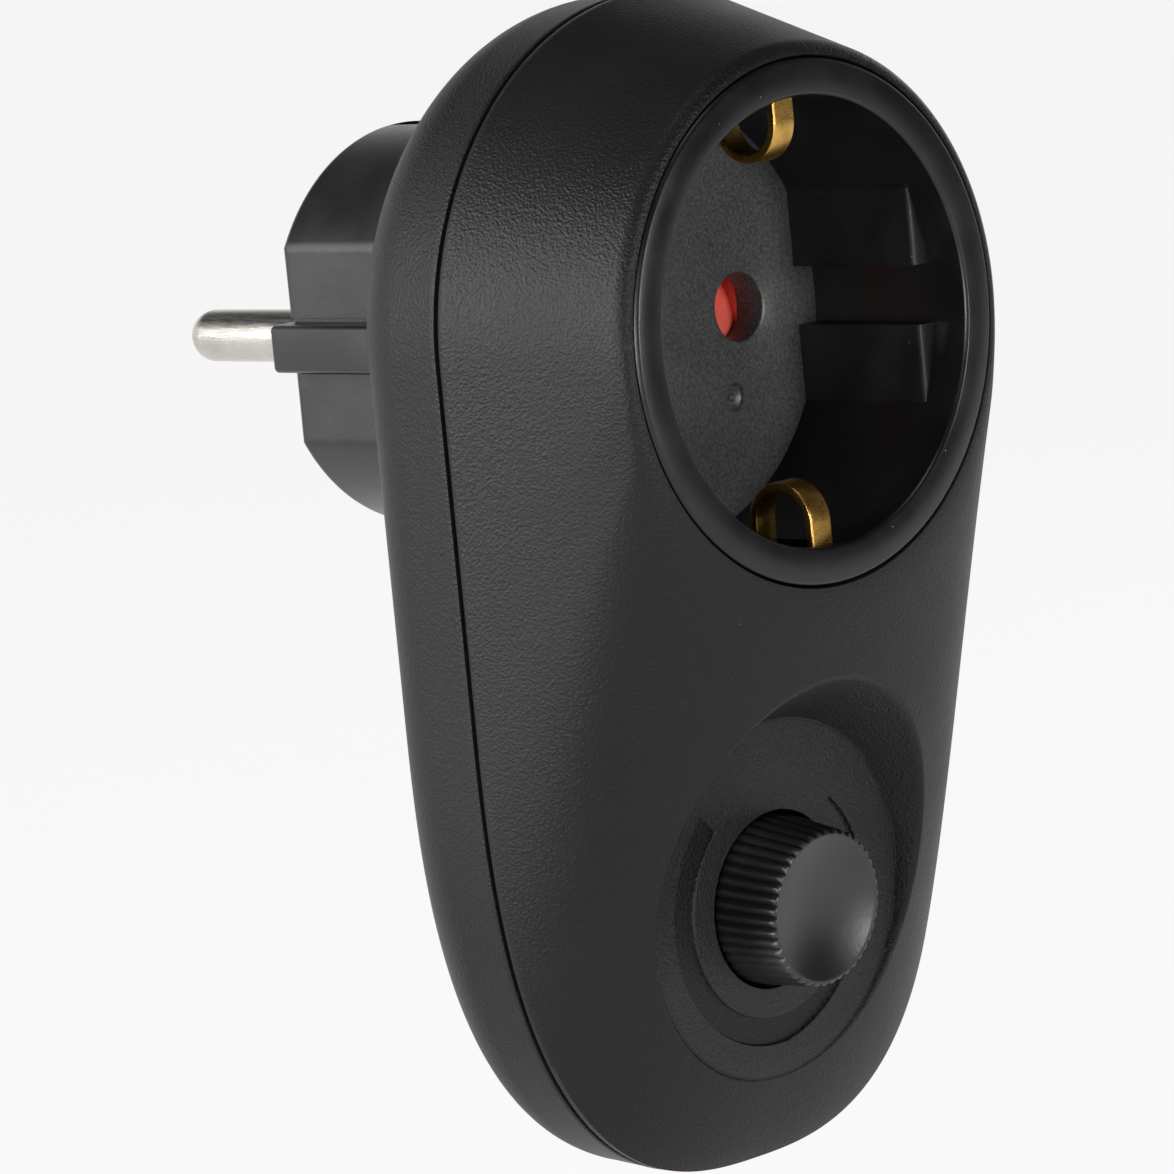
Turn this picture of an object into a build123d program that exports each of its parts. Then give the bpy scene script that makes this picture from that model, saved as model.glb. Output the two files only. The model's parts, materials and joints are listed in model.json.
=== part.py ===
from build123d import *
import os
from math import atan, cos, degrees, pi, radians, sin, tan

# Plug-in socket dimmer. Millimetres, +Z up, the room is at -Y and the wall at +Y.
# The origin is the middle of the plug's end face, the face that seats on the wall socket's floor.

os.makedirs("parts", exist_ok=True)

# Housing
plug_depth = 18.0            # housing back to the plug's end face
housing_depth = 31.6         # socket ring to housing back
front_depth = 17.2           # collar rim to the joint between the shells
ring_proud = 0.2             # socket ring ahead of the collar rim
seam_gap = 0.35              # open shadow joint between the shells
lip_height = 0.8             # upright lip of the front shell at the joint
wall = 2.2
body_flare = 5.15            # half width at the joint, past the collar's radius
chin_height = 44.0           # from the end of the straight sides to the lowest point
chin_power = 2.64            # superellipse power of the chin
chin_bulge = 0.6             # how far the chin swells ahead of a straight slope, as a blend share
collar_wall = 1.1
collar_round = 1.3
back_round = 9.0
rear_draft = 0.3             # how much the rear shell draws in before its rounded edge
overrun = 1.0                # how far cutters pass the faces they cut
tab_height = 1.6             # locating tabs, ahead of the rear shell's edge
tab_wall = 0.9
tab_half = 4.0
tab_setback = 1.05           # inside the rear shell's inner wall, clear of the front one's taper
tab_sink = 0.35              # the top tab lower still, because the wall there is round
tab_drop = 12.0              # side tabs below the socket axis
ledge_height = 1.4           # seat of the socket ring inside the collar
ledge_slack = 0.15
slip = 0.15                  # sliding and assembly clearance
touch = 0.05                 # clearance of a located fit

# Socket insert
ring_overhang = 1.55         # past the pot
ring_thickness = 1.8
ring_chamfer = 0.35
recess_radius = 19.5
recess_depth = 18.05
recess_chamfer = 0.3
pot_wall = 1.7
floor_thickness = 3.0
land_reach = 17.0            # flat of the side lands, from the axis
land_depth = 3.6             # where the lands begin, below the ring
groove_half = 2.65
groove_chamfer = 0.5
pin_spacing = 19.0
hole_radius = 3.05
hole_chamfer = 0.3
dimple_place = 7.9
dimple_radius = 1.35
dimple_depth = 0.8
clip_slack = 0.4             # round the earth clips where they pass the pot's wall

# Plug
plug_radius = 18.3
plug_root_step = 0.45        # the plug's root stands out where it leaves the rear shell
plug_root_length = 1.2
plug_flange = 1.2            # inside the rear shell, on its back wall
plug_flange_reach = 0.8      # past the rear shell's hole
plug_round = 0.8
plug_flat = 16.0
rib_reach = 18.5
rib_half = 2.15
rib_groove = 0.35
plug_wall = 2.0
plug_end = 3.2               # thickness of the plug's end
pin_radius = 2.4
pin_length = 19.0
pin_root_radius = 2.2        # inside the plug, and a short neck outside it
pin_neck = 0.3
pin_flange_radius = 3.6
pin_flange = 1.2
carrier_depth = 6.0
earth_sink = 0.7             # plug's earth contacts below the plug's surface
earth_setback = 1.2          # end of the earth contacts, from the plug's end
earth_slack = 0.3
core_half = 14.4             # half height of the plug's hollow
insulator = 0.8

# Shutter behind the socket floor
shutter_thickness = 2.4
shutter_travel = 6.2
shutter_half_width = 13.2
shutter_below = 4.2
shutter_above = 10.6
shutter_hole_radius = 2.9
shutter_gap = 0.2
cover_thickness = 1.2
cover_setback = 1.6          # inside the pot's outer wall
cover_wall = 1.4
spring_radius = 1.1
spring_wire = 0.35
cover_hole_radius = 3.6
ramp_low = 3.0               # where the ramp starts, below the covered pin hole

# Socket contacts
tulip_bore = 2.55
tulip_wall = 0.7
tulip_slot = 1.2
tulip_foot = 0.8
tulip_foot_half = 3.4
clip_width = 2.6
clip_thickness = 0.8
clip_span = 7.3              # across the hairpin, along Y
clip_apex = 13.9             # tip of the hairpin, from the axis
clip_front = 1.9             # front leg, below the ring
strap_bend = 1.2

# Knob seat, in the front of the chin
seat_below_ring = 11.47      # middle of the seat, behind the socket ring
seat_drop = 51.56            # middle of the seat, below the socket axis
seat_to_chin = 23.94         # middle of the seat to the housing's lowest point
seat_tilt = 4.0              # degrees, facing slightly down
seat_radius = 16.2
seat_flare = 30.0            # degrees, lean of the wall round the seat
seat_cut = 14.0              # how far the seat's cutter reaches forward
knob_hole_radius = 8.05
scale_inner = 10.65          # level mark round the knob
scale_outer = 13.1
scale_thin = 0.25
scale_depth = 0.3
scale_start = 135.0          # degrees, thick end, counter-clockwise from +X seen from the front
scale_full = 275.0           # degrees, where the mark starts to taper
scale_stop = 406.0           # degrees, thin end

# Knob
knob_base_radius = 7.6
knob_top_radius = 6.95
knob_height = 6.1            # ahead of the seat
knob_dish_depth = 1.3
knob_dish_inset = 0.55
knob_ridges = 42
ridge_radius = 0.3
knob_flange_radius = 9.4
knob_flange = 1.2
knob_roof = 1.3              # between the dish and the shaft's bore
edge_break = 0.35            # small chamfer on moulded edges
shaft_radius = 3.0
shaft_flat = 2.2             # flat of the shaft, from its axis
pivot_radius = 1.5
bush_radius = 4.5
bush_height = 1.7
pot_case_radius = 8.4
pot_case_height = 4.6
pot_case_wall = 0.8
wiper_radius = 6.2
wiper_thickness = 1.0
track_radius = 7.3
track_bore = 3.8
track_thickness = 0.8

# Circuit board and what it carries
board_thickness = 1.6
board_half_width = 16.4
board_gap = 4.36             # between the socket's pot and the board's upper edge
board_chin_room = 6.94       # between the board's lower edge and the housing's lowest point
board_round = 9.0
choke_radius = 6.3
choke_bore = 3.4
choke_height = 4.4
choke_u = 8.2
choke_inset = 9.6            # below the board's upper edge
winding_thickness = 0.9
film_width = 13.0
film_depth = 6.0
film_height = 7.0
film_u = 8.0
film_inset = 6.0             # below the board's upper edge
timing_width = 5.2
timing_depth = 2.6
timing_height = 6.0
timing_u = 12.8
timing_v = 9.5
timing_pitch = 4.2
resistor_radius = 1.15
resistor_length = 6.3
resistor_lift = 1.5
lead_radius = 0.3
resistor_u = 12.6
resistor_v = 6.0
resistor_pitch = 8.6
diac_radius = 0.95
diac_length = 4.0
fuse_radius = 2.5
fuse_length = 20.0
fuse_cap = 5.0
fuse_inset = 4.6             # above the board's lower edge
fuse_lift = 3.1
fuse_clip_thickness = 0.5
fuse_clip_width = 4.0
fuse_clip_opening = 3.75     # between the cheeks of a clip, at the top
triac_width = 10.2
triac_body_length = 9.2
triac_body_height = 4.0
triac_tab_length = 6.0
triac_tab_thickness = 1.2
triac_v = 3.0
triac_lead_pitch = 2.54
triac_lead_width = 0.8
triac_lead_length = 3.0
sink_half_width = 15.5
sink_top = 15.0
sink_bottom = 6.0
sink_thickness = 1.4
sink_round = 2.0
sink_screw_radius = 1.45
sink_screw_head_radius = 2.7
sink_screw_head = 1.2
board_screw_u = 13.4
board_screw_v = 9.0
board_screw_radius = 1.1
board_screw_head_radius = 2.0
board_screw_head = 1.1
board_screw_length = 4.6
board_post_radius = 2.3
pot_lug_width = 1.0
pot_lug_thickness = 0.4
pot_lug_pitch = 5.0
pot_lug_reach = 3.0

# Screws through the back
case_screw_radius = 1.35
case_screw_length = 13.0
case_screw_head_radius = 2.7
case_screw_head = 1.7
head_well_radius = 3.1
head_well_depth = 5.0
boss_radius = 3.2
rear_boss_radius = 4.1
screw_inset = 8.25           # from the housing's side
screw_rise = 3.0             # above the end of the straight sides
cover_screw_x = 9.2
cover_screw_z = 13.4
cover_screw_radius = 1.0
cover_screw_head_radius = 1.8
cover_screw_head = 1.0
cover_screw_bite = 2.2
cover_post_radius = 1.8

# Leads between the live pin, the board and the live contact
wire_radius = 0.9
wire_bend = 2.0
wire_clearance = 0.4         # ahead of the plug's flange
wire_drop = 7.5              # where the lead from the pin turns forward, below the axis
wire_out_x = 3.2
wire_end_inset = 4.5         # where the leads end, below the board's upper edge

# Worked out from the sizes above
pot_radius = recess_radius + pot_wall
ring_radius = pot_radius + ring_overhang
collar_bore = ring_radius + slip
collar_radius = collar_bore + collar_wall
body_radius = collar_radius + body_flare
side_length = seat_drop + seat_to_chin - chin_height
cover_radius = pot_radius - cover_setback
screw_x = body_radius - screw_inset
screw_z = screw_rise - side_length
board_top = seat_drop - pot_radius - board_gap
board_bottom = seat_to_chin - board_chin_room
choke_v = board_top - choke_inset
film_v = board_top - film_inset
fuse_v = board_bottom - fuse_inset
wire_end_v = board_top - wire_end_inset
front_y = -plug_depth - housing_depth
collar_y = front_y + ring_proud
part_y = collar_y + front_depth
rear_y = part_y + seam_gap
back_y = -plug_depth
floor_y = front_y + recess_depth
floor_back = floor_y + floor_thickness
shutter_y = floor_back + shutter_gap
cover_y = shutter_y + shutter_thickness + shutter_gap
cover_back = cover_y + cover_thickness
pin_x = pin_spacing / 2
carrier_y = -plug_end - carrier_depth
flange_y = carrier_y - pin_flange
clip_y = front_y + clip_front
strap_z = pot_radius + clip_thickness / 2 + slip
earth_z = plug_radius - earth_sink - clip_thickness / 2
plug_hole_radius = plug_radius + plug_root_step + slip
plug_flange_y = back_y - wall - plug_flange
wire_run_y = plug_flange_y - wire_radius - wire_clearance
board_front = wall + slip + knob_flange + slip + bush_height + pot_case_height
board_back = board_front + board_thickness
sink_front = board_back + triac_body_height
head_seat = back_y - head_well_depth
shaft_top = knob_height - knob_dish_depth - knob_roof
wiper_z = board_front - pot_case_wall - track_thickness - slip
sink_screw_v = triac_v + (triac_body_length + triac_tab_length) / 2
tilt_cos = cos(radians(seat_tilt))
tilt_sin = sin(radians(seat_tilt))
seat = Plane(
    origin=(0, front_y + seat_below_ring, -seat_drop),
    x_dir=(1, 0, 0),
    z_dir=(0, -tilt_cos, -tilt_sin),
)
wire_end_y = front_y + seat_below_ring - (wire_end_v - wire_radius) * tilt_sin + board_back * tilt_cos
wire_end_z = -seat_drop + wire_end_v * tilt_cos + board_back * tilt_sin


def across(y):
    """The plane square to the plug's axis at y, seen from the front: x to the right, z up."""
    return Plane(origin=(0, y, 0), x_dir=(1, 0, 0), z_dir=(0, -1, 0))


def drum(radius, y0, y1, x=0, z=0):
    """A cylinder along Y from y0 to y1."""
    return Pos(x, (y0 + y1) / 2, z) * Rot(90, 0, 0) * Cylinder(radius, abs(y1 - y0))


def bar(x0, x1, y0, y1, z0, z1):
    """A block between the given places."""
    size = Box(x1 - x0, y1 - y0, z1 - z0)
    return Pos((x0 + x1) / 2, (y0 + y1) / 2, (z0 + z1) / 2) * size


def local(shape):
    """Moves a shape from the knob's own axes to the part's: z leaves the seat, y runs up it."""
    return seat.location * shape


def half_outline(inset):
    """Points down the right side of the body at the joint: round top, straight side, full chin."""
    radius = body_radius - inset
    points = []
    for angle in range(90, -1, -15):
        points.append((radius * cos(radians(angle)), radius * sin(radians(angle))))
    points.append((radius, -side_length / 2))
    points.append((radius, -side_length))
    share = 2 / chin_power
    for angle in (10, 20, 30, 40, 50, 60, 70, 80, 90):
        x = radius * max(0, cos(radians(angle))) ** share
        z = side_length + (chin_height - inset) * sin(radians(angle)) ** share
        points.append((x, -z))
    points[0] = (0, radius)
    points[-1] = (0, -side_length - chin_height + inset)
    return points


def half_collar(radius):
    """Points down the right side of the collar, one for each point of the outline."""
    angles = [angle for angle in range(90, -1, -15)]
    twist_shares = (0.08, 0.16, 0.20, 0.26, 0.34, 0.44, 0.55, 0.67, 0.80, 0.91, 1.0)
    angles += [-90 * share for share in twist_shares]
    return [(radius * cos(radians(angle)), radius * sin(radians(angle))) for angle in angles]


def section(depth_share, inset, shift, rim_inset=0):
    """Half a cross section of the front shell, between the collar and the joint."""
    collar = half_collar(collar_radius - inset - rim_inset)
    body = half_outline(inset)
    first_chin = len(collar) - 9
    points = []
    for index in range(len(collar)):
        chin = max(0, index - first_chin + 1) / 9
        swell = chin_bulge * sin(chin * pi / 2) ** 2
        blend = depth_share + swell * depth_share**2 * (1 - depth_share)
        x = (1 - blend) * collar[index][0] + blend * body[index][0]
        z = (1 - blend) * collar[index][1] + blend * body[index][1]
        points.append((x, z))
    y = collar_y + depth_share * (front_depth - lip_height) + shift
    return half_face(points, y)


def half_face(points, y):
    """The right half of a cross section at y, closed along the middle."""
    side = Spline(points, tangents=[(1, 0), (-1, 0)])
    middle = Line(points[-1], points[0])
    return across(y).location * make_face([side, middle])


def both_sides(half):
    """A solid and its mirror image across the middle, as one."""
    return half + mirror(half, about=Plane.YZ)


def front_form(inset, shift):
    """The solid form of the front shell, smaller by inset and moved back by shift."""
    depth_shares = (0, 0.018, 0.06, 0.3, 0.6, 0.85, 1)
    rim_shares = (0.8, 0.28, 0, 0, 0, 0, 0)
    halves = []
    for depth_share, rim_share in zip(depth_shares, rim_shares):
        halves.append(section(depth_share, inset, shift, rim_share * collar_round))
    half = loft(halves)
    lip_y = part_y - lip_height + shift
    half += extrude(half_face(half_outline(inset), lip_y), -lip_height - shift)
    return both_sides(half)


def rear_form(inset, y0, y1, edge_round):
    """The solid form of the rear shell between y0 and y1, its back edge rounded."""
    halves = [half_face(half_outline(inset), y0)]
    for angle in (0, 20, 40, 60, 75, 90):
        drawn_in = rear_draft + edge_round * (1 - cos(radians(angle)))
        y = y1 - edge_round * (1 - sin(radians(angle)))
        halves.append(half_face(half_outline(inset + drawn_in), y))
    return both_sides(loft(halves))


def locating_tab():
    """A tab on the rear shell that reaches inside the front shell's wall, at the top of the housing."""
    face = body_radius - wall - tab_setback
    blade = bar(-tab_half, tab_half, rear_y - tab_height, rear_y + wall, face - tab_wall, face)
    foot = bar(-tab_half, tab_half, rear_y, rear_y + wall, face - tab_wall, body_radius - wall / 2)
    return blade + foot


def seat_form(extra):
    """The flared dish that the knob's flat seat is sunk in, larger by extra below and around."""
    flare = (seat_cut + extra) * tan(radians(seat_flare))
    profile = Polyline(
        (0, -extra),
        (seat_radius + extra, -extra),
        (seat_radius + extra + flare, seat_cut),
        (0, seat_cut),
        close=True,
    )
    return local(revolve(Plane.XZ * make_face(profile), Axis.Z))


def scale_mark():
    """The level mark round the knob: even from the thick end, then tapering to the thin one."""
    def at(radius, angle):
        return (radius * cos(radians(angle)), radius * sin(radians(angle)))

    middle = (scale_full + scale_stop) / 2
    thin_radius = scale_inner + scale_thin
    taper_radius = (scale_outer + thin_radius) / 2
    outline = [
        ThreePointArc(
            at(scale_outer, scale_start),
            at(scale_outer, (scale_start + scale_full) / 2),
            at(scale_outer, scale_full),
        ),
        ThreePointArc(
            at(scale_outer, scale_full),
            at(taper_radius, middle),
            at(thin_radius, scale_stop),
        ),
        Line(at(thin_radius, scale_stop), at(scale_inner, scale_stop)),
        ThreePointArc(
            at(scale_inner, scale_stop),
            at(scale_inner, (scale_start + scale_stop) / 2),
            at(scale_inner, scale_start),
        ),
        Line(at(scale_inner, scale_start), at(scale_outer, scale_start)),
    ]
    mark = extrude(make_face(outline), scale_depth)
    return local(Pos(0, 0, -scale_depth) * mark)


def front_shell():
    outer = front_form(0, 0)
    shell = outer - front_form(wall, wall)
    shell -= drum(collar_bore, collar_y - overrun, front_y + ring_thickness)
    ledge_y = front_y + ring_thickness
    shell += drum(collar_bore + ledge_slack, ledge_y, ledge_y + ledge_height)
    shell -= drum(pot_radius + slip, collar_y - overrun, ledge_y + ledge_height + overrun)
    shell += outer & seat_form(wall)
    shell -= seat_form(0)
    shell -= local(Cylinder(knob_hole_radius, 2 * seat_cut))
    shell -= scale_mark()
    for x in (-screw_x, screw_x):
        boss = drum(boss_radius, collar_y, part_y, x, screw_z)
        shell += boss & outer
        bore_end = head_seat - case_screw_length - slip
        shell -= drum(case_screw_radius + touch, bore_end, part_y + overrun, x, screw_z)
    return shell


def rear_shell():
    outer = rear_form(0, rear_y, back_y, back_round)
    shell = outer - rear_form(wall, rear_y - overrun, back_y - wall, back_round - wall)
    shell -= drum(plug_hole_radius, back_y - wall - overrun, back_y + overrun)
    shell += Pos(0, 0, -tab_sink) * locating_tab()
    for angle in (-90, 90):
        shell += Pos(0, 0, -tab_drop) * Rot(0, angle, 0) * locating_tab()
    for x in (-screw_x, screw_x):
        shell += drum(rear_boss_radius, rear_y, back_y, x, screw_z) & outer
        shell -= drum(head_well_radius, head_seat, back_y + overrun, x, screw_z)
        shell -= drum(case_screw_radius + slip, rear_y - overrun, back_y, x, screw_z)
    for u in (-board_screw_u, board_screw_u):
        post_top = -board_back
        post = Pos(u, -board_screw_v, post_top - wall * 2) * Cylinder(board_post_radius, wall * 4)
        shell += local(post) & outer
        pilot = Cylinder(board_screw_radius - touch, 2 * board_screw_length)
        shell -= local(Pos(u, -board_screw_v, post_top) * pilot)
    return shell


def plug_body():
    """The plug's hollow moulding, which hangs in the rear shell's hole by its flange."""
    end_face = 0
    root_y = back_y + plug_root_length
    body = drum(plug_radius, plug_flange_y, end_face)
    body &= bar(-plug_flat, plug_flat, plug_flange_y, end_face, -plug_radius, plug_radius)
    body = fillet(body.faces().sort_by(Axis.Y)[-1].edges(), plug_round)
    rib = bar(-rib_reach, rib_reach, plug_flange_y, end_face, -rib_half, rib_half)
    rib = fillet(rib.faces().sort_by(Axis.Y)[-1].edges(), plug_round)
    for side in (-1, 1):
        for z in (-rib_half - rib_groove, rib_half):
            x = side * plug_flat
            body -= bar(x - rib_groove, x + rib_groove, root_y, -plug_round, z, z + rib_groove)
    body += rib
    body += drum(plug_radius + plug_root_step, plug_flange_y, root_y)
    body += drum(plug_hole_radius + plug_flange_reach, plug_flange_y, back_y - wall)
    core_y = plug_flange_y - overrun
    core = drum(plug_radius - plug_wall, core_y, -plug_end)
    core_width = plug_flat - plug_wall
    core &= bar(-core_width, core_width, core_y, -plug_end, -core_half, core_half)
    body -= core
    for x in (-pin_x, pin_x):
        body -= drum(pin_radius + touch, -plug_end - overrun, overrun, x)
    earth_channel = bar(
        -clip_width / 2 - earth_slack,
        clip_width / 2 + earth_slack,
        core_y,
        -earth_setback + earth_slack,
        earth_z - clip_thickness / 2 - touch,
        plug_radius + overrun,
    )
    well = drum(plug_radius + overrun, root_y, overrun)
    inside = drum(earth_z + clip_thickness / 2 + earth_slack, core_y, root_y + overrun)
    earth_channel &= well + inside
    body -= earth_channel
    body -= Rot(0, 180, 0) * earth_channel
    return body


def socket_insert():
    pot = drum(pot_radius, front_y + ring_thickness, floor_back)
    ring = drum(ring_radius, front_y, front_y + ring_thickness)
    ring = chamfer(ring.edges().group_by(Axis.Y)[0], ring_chamfer)
    body = ring + pot
    recess = drum(recess_radius, front_y - overrun, floor_y)
    for side in (-1, 1):
        land = bar(
            land_reach,
            recess_radius + overrun,
            front_y + land_depth,
            floor_y,
            -recess_radius,
            recess_radius,
        )
        land = chamfer(land.edges().filter_by(Axis.Z).sort_by(Axis.Y)[0:1], groove_chamfer)
        land -= bar(0, recess_radius + 2 * overrun, front_y, floor_y, -groove_half, groove_half)
        recess -= land if side > 0 else mirror(land, about=Plane.YZ)
    body -= recess
    mouth = drum(recess_radius + recess_chamfer, front_y - overrun, front_y + recess_chamfer)
    mouth = chamfer(mouth.edges().group_by(Axis.Y)[-1], recess_chamfer)
    body -= mouth
    for x in (-pin_x, pin_x):
        body -= drum(hole_radius, floor_y - overrun, floor_back + overrun, x)
        rim = drum(hole_radius + hole_chamfer, floor_y - overrun, floor_y + hole_chamfer, x)
        body -= chamfer(rim.edges().group_by(Axis.Y)[-1], hole_chamfer)
    for x, z in ((dimple_place, -dimple_place), (-dimple_place, dimple_place)):
        dimple = Cone(0, dimple_radius, dimple_depth)
        body -= Pos(x, floor_y + dimple_depth / 2, z) * Rot(90, 0, 0) * dimple
    for side in (-1, 1):
        slot = bar(
            -clip_width / 2 - clip_slack,
            clip_width / 2 + clip_slack,
            clip_y - clip_slack,
            clip_y + clip_span + clip_slack,
            recess_radius - overrun,
            pot_radius + overrun,
        )
        body -= slot if side > 0 else Rot(0, 180, 0) * slot
    for side in (-1, 1):
        pilot = drum(
            cover_screw_radius - touch,
            floor_back - cover_screw_bite - slip,
            floor_back + overrun,
            side * cover_screw_x,
            side * cover_screw_z,
        )
        body -= pilot
    return body


def shutter():
    plate = bar(
        -shutter_half_width,
        shutter_half_width,
        shutter_y,
        shutter_y + shutter_thickness,
        -shutter_below,
        shutter_above,
    )
    plate = fillet(plate.edges().filter_by(Axis.Y), shutter_hole_radius / 2)
    for x in (-pin_x, pin_x):
        hole_end = shutter_y + shutter_thickness + overrun
        plate -= drum(shutter_hole_radius, shutter_y - overrun, hole_end, x, shutter_travel)
        ramp = Polyline(
            (shutter_y, -ramp_low),
            (shutter_y + shutter_thickness, shutter_travel),
            (shutter_y - overrun, shutter_travel),
            (shutter_y - overrun, -ramp_low),
            close=True,
        )
        wedge = extrude(Plane.YZ * make_face(ramp), shutter_hole_radius, both=True)
        plate -= Pos(x, 0, 0) * wedge
    return plate


def shutter_spring():
    """A plain sleeve where the small coil spring lies, hidden behind the socket floor."""
    low = -cover_radius + cover_wall + slip
    high = -shutter_below - touch
    middle_y = (floor_back + cover_y) / 2
    coil = Cylinder(spring_radius, high - low) - Cylinder(spring_radius - spring_wire, high - low)
    return Pos(0, middle_y, (low + high) / 2) * coil


def shutter_cover():
    body = drum(cover_radius, floor_back, cover_back)
    body -= drum(cover_radius - cover_wall, floor_back - overrun, cover_y)
    for side in (-1, 1):
        x, z = side * cover_screw_x, side * cover_screw_z
        body += drum(cover_post_radius, floor_back, cover_y + cover_thickness / 2, x, z)
        body -= drum(cover_screw_radius + touch, floor_back - overrun, cover_back + overrun, x, z)
    for x in (-pin_x, pin_x):
        body -= drum(cover_hole_radius, cover_y - overrun, cover_back + overrun, x)
    return body


def cover_screws():
    screws = []
    for side in (-1, 1):
        x, z = side * cover_screw_x, side * cover_screw_z
        shank = drum(cover_screw_radius - touch, floor_back - cover_screw_bite, cover_back, x, z)
        screws.append(shank + drum(cover_screw_head_radius, cover_back, cover_back + cover_screw_head, x, z))
    return Compound(children=screws)


def earth_strap():
    """The upper earth strap: a hairpin in the recess, a run outside the pot, the plug's contact."""
    mean_radius = (clip_span - clip_thickness) / 2
    tip_z = clip_apex + clip_thickness / 2 + mean_radius
    front_leg = clip_y + clip_thickness / 2
    rear_leg = clip_y + clip_span - clip_thickness / 2
    leg = Line((front_leg, recess_radius), (front_leg, tip_z))
    bend = ThreePointArc(
        (front_leg, tip_z),
        ((front_leg + rear_leg) / 2, tip_z - mean_radius),
        (rear_leg, tip_z),
    )
    step_y = cover_back + clip_thickness
    run = FilletPolyline(
        (rear_leg, tip_z),
        (rear_leg, strap_z),
        (step_y, strap_z),
        (step_y, earth_z),
        (-earth_setback, earth_z),
        radius=strap_bend,
    )
    path = Plane.YZ * Wire([leg, bend] + list(run.edges()))
    pen = Plane(origin=(0, front_leg, recess_radius), x_dir=(1, 0, 0), z_dir=(0, 0, -1))
    return sweep(pen * Rectangle(clip_width, clip_thickness), path)


def plug_pin(x):
    profile = [
        Line((0, flange_y), (pin_flange_radius, flange_y)),
        Line((pin_flange_radius, flange_y), (pin_flange_radius, carrier_y)),
        Line((pin_flange_radius, carrier_y), (pin_root_radius, carrier_y)),
        Line((pin_root_radius, carrier_y), (pin_root_radius, pin_neck)),
        Line((pin_root_radius, pin_neck), (pin_radius, pin_neck)),
        Line((pin_radius, pin_neck), (pin_radius, pin_length - pin_radius)),
        RadiusArc((pin_radius, pin_length - pin_radius), (0, pin_length), -pin_radius),
        Line((0, pin_length), (0, flange_y)),
    ]
    return Pos(x, 0, 0) * revolve(make_face(profile), Axis.Y)


def pin_carrier():
    """The insulating block in the plug that both pins stand in."""
    radius = plug_radius - plug_wall - touch
    half_width = plug_flat - plug_wall - touch
    half_height = core_half - touch
    block = drum(radius, carrier_y, -plug_end)
    block &= bar(-half_width, half_width, carrier_y, -plug_end, -half_height, half_height)
    for x in (-pin_x, pin_x):
        block -= drum(pin_root_radius + touch, carrier_y - overrun, -plug_end + overrun, x)
    return block


def socket_contact(x, foot_back):
    """A slotted tube that grips a pin from the front, on a square foot that ends at foot_back."""
    foot_front = foot_back - tulip_foot
    radius = tulip_bore + tulip_wall
    mouth = cover_back + slip
    tube = drum(radius, mouth, foot_front, x)
    tube -= drum(tulip_bore, mouth - overrun, foot_front, x)
    slot_end = foot_front - tulip_foot_half
    reach = radius + overrun
    tube -= bar(x - reach, x + reach, mouth - overrun, slot_end, -tulip_slot / 2, tulip_slot / 2)
    tube -= bar(x - tulip_slot / 2, x + tulip_slot / 2, mouth - overrun, slot_end, -reach, reach)
    half = tulip_foot_half
    return tube + bar(x - half, x + half, foot_front, foot_back, -half, half)


def live_insulator():
    return drum(tulip_foot_half, flange_y - insulator, flange_y, pin_x)


def wire(*places):
    """An insulated lead through the given places, its bends rounded."""
    path = FilletPolyline(*places, radius=wire_bend)
    return sweep(Plane(origin=path @ 0, z_dir=path % 0) * Circle(wire_radius), path)


def live_wire_in():
    """From the live pin's flange, down behind the socket, to the back of the board."""
    start_y = carrier_y - wire_radius - slip
    return wire(
        (pin_x, start_y, -pin_flange_radius),
        (pin_x, start_y, -wire_drop),
        (pin_x, wire_run_y, -wire_drop),
        (pin_x, wire_run_y, wire_end_z),
        (pin_x, wire_end_y, wire_end_z),
    )


def live_wire_out():
    """From the back of the board up to the foot of the live contact."""
    foot_y = flange_y - insulator - tulip_foot / 2
    return wire(
        (pin_x - tulip_foot_half, foot_y, 0),
        (wire_out_x, foot_y, 0),
        (wire_out_x, wire_run_y, 0),
        (wire_out_x, wire_run_y, wire_end_z),
        (wire_out_x, wire_end_y, wire_end_z),
    )


def knob():
    """A ridged cap with a dished face; its flange runs behind the housing's wall."""
    flange_top = -wall - slip
    low = flange_top - knob_flange
    dish_radius = knob_top_radius - knob_dish_inset
    profile = Polyline(
        (0, knob_height),
        (knob_top_radius - edge_break, knob_height),
        (knob_top_radius, knob_height - edge_break),
        (knob_base_radius, 0),
        (knob_base_radius, flange_top),
        (knob_flange_radius, flange_top),
        (knob_flange_radius, low),
        (0, low),
        close=True,
    )
    body = revolve(Plane.XZ * make_face(profile), Axis.Z)
    ball_radius = (dish_radius**2 + knob_dish_depth**2) / (2 * knob_dish_depth)
    body -= Pos(0, 0, knob_height - knob_dish_depth + ball_radius) * Sphere(ball_radius)
    lean = degrees(atan((knob_base_radius - knob_top_radius) / knob_height))
    length = knob_height + wall + overrun
    groove = Pos(0, 0, length / 2 - wall) * Cylinder(ridge_radius, length)
    groove = Pos(knob_base_radius, 0, 0) * Rot(0, -lean, 0) * groove
    body -= [Rot(0, 0, index * 360 / knob_ridges) * groove for index in range(knob_ridges)]
    bore_radius = shaft_radius + touch
    bore = Pos(0, 0, (shaft_top + low) / 2) * Cylinder(bore_radius, shaft_top - low)
    flat = Box(2 * bore_radius, 2 * shaft_radius, shaft_top)
    body -= bore - Pos(0, shaft_flat + touch + shaft_radius, shaft_top / 2) * flat
    return local(body)


def dimmer_shaft():
    low = -wiper_z
    shaft = Pos(0, 0, (shaft_top + low) / 2) * Cylinder(shaft_radius, shaft_top - low)
    flat = Box(2 * shaft_radius, 2 * shaft_radius, 2 * (shaft_top + slip))
    shaft -= Pos(0, shaft_flat + shaft_radius, shaft_top) * flat
    pivot_low = -board_front + touch
    shaft += Pos(0, 0, (pivot_low + low) / 2) * Cylinder(pivot_radius, low - pivot_low)
    return local(shaft)


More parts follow.
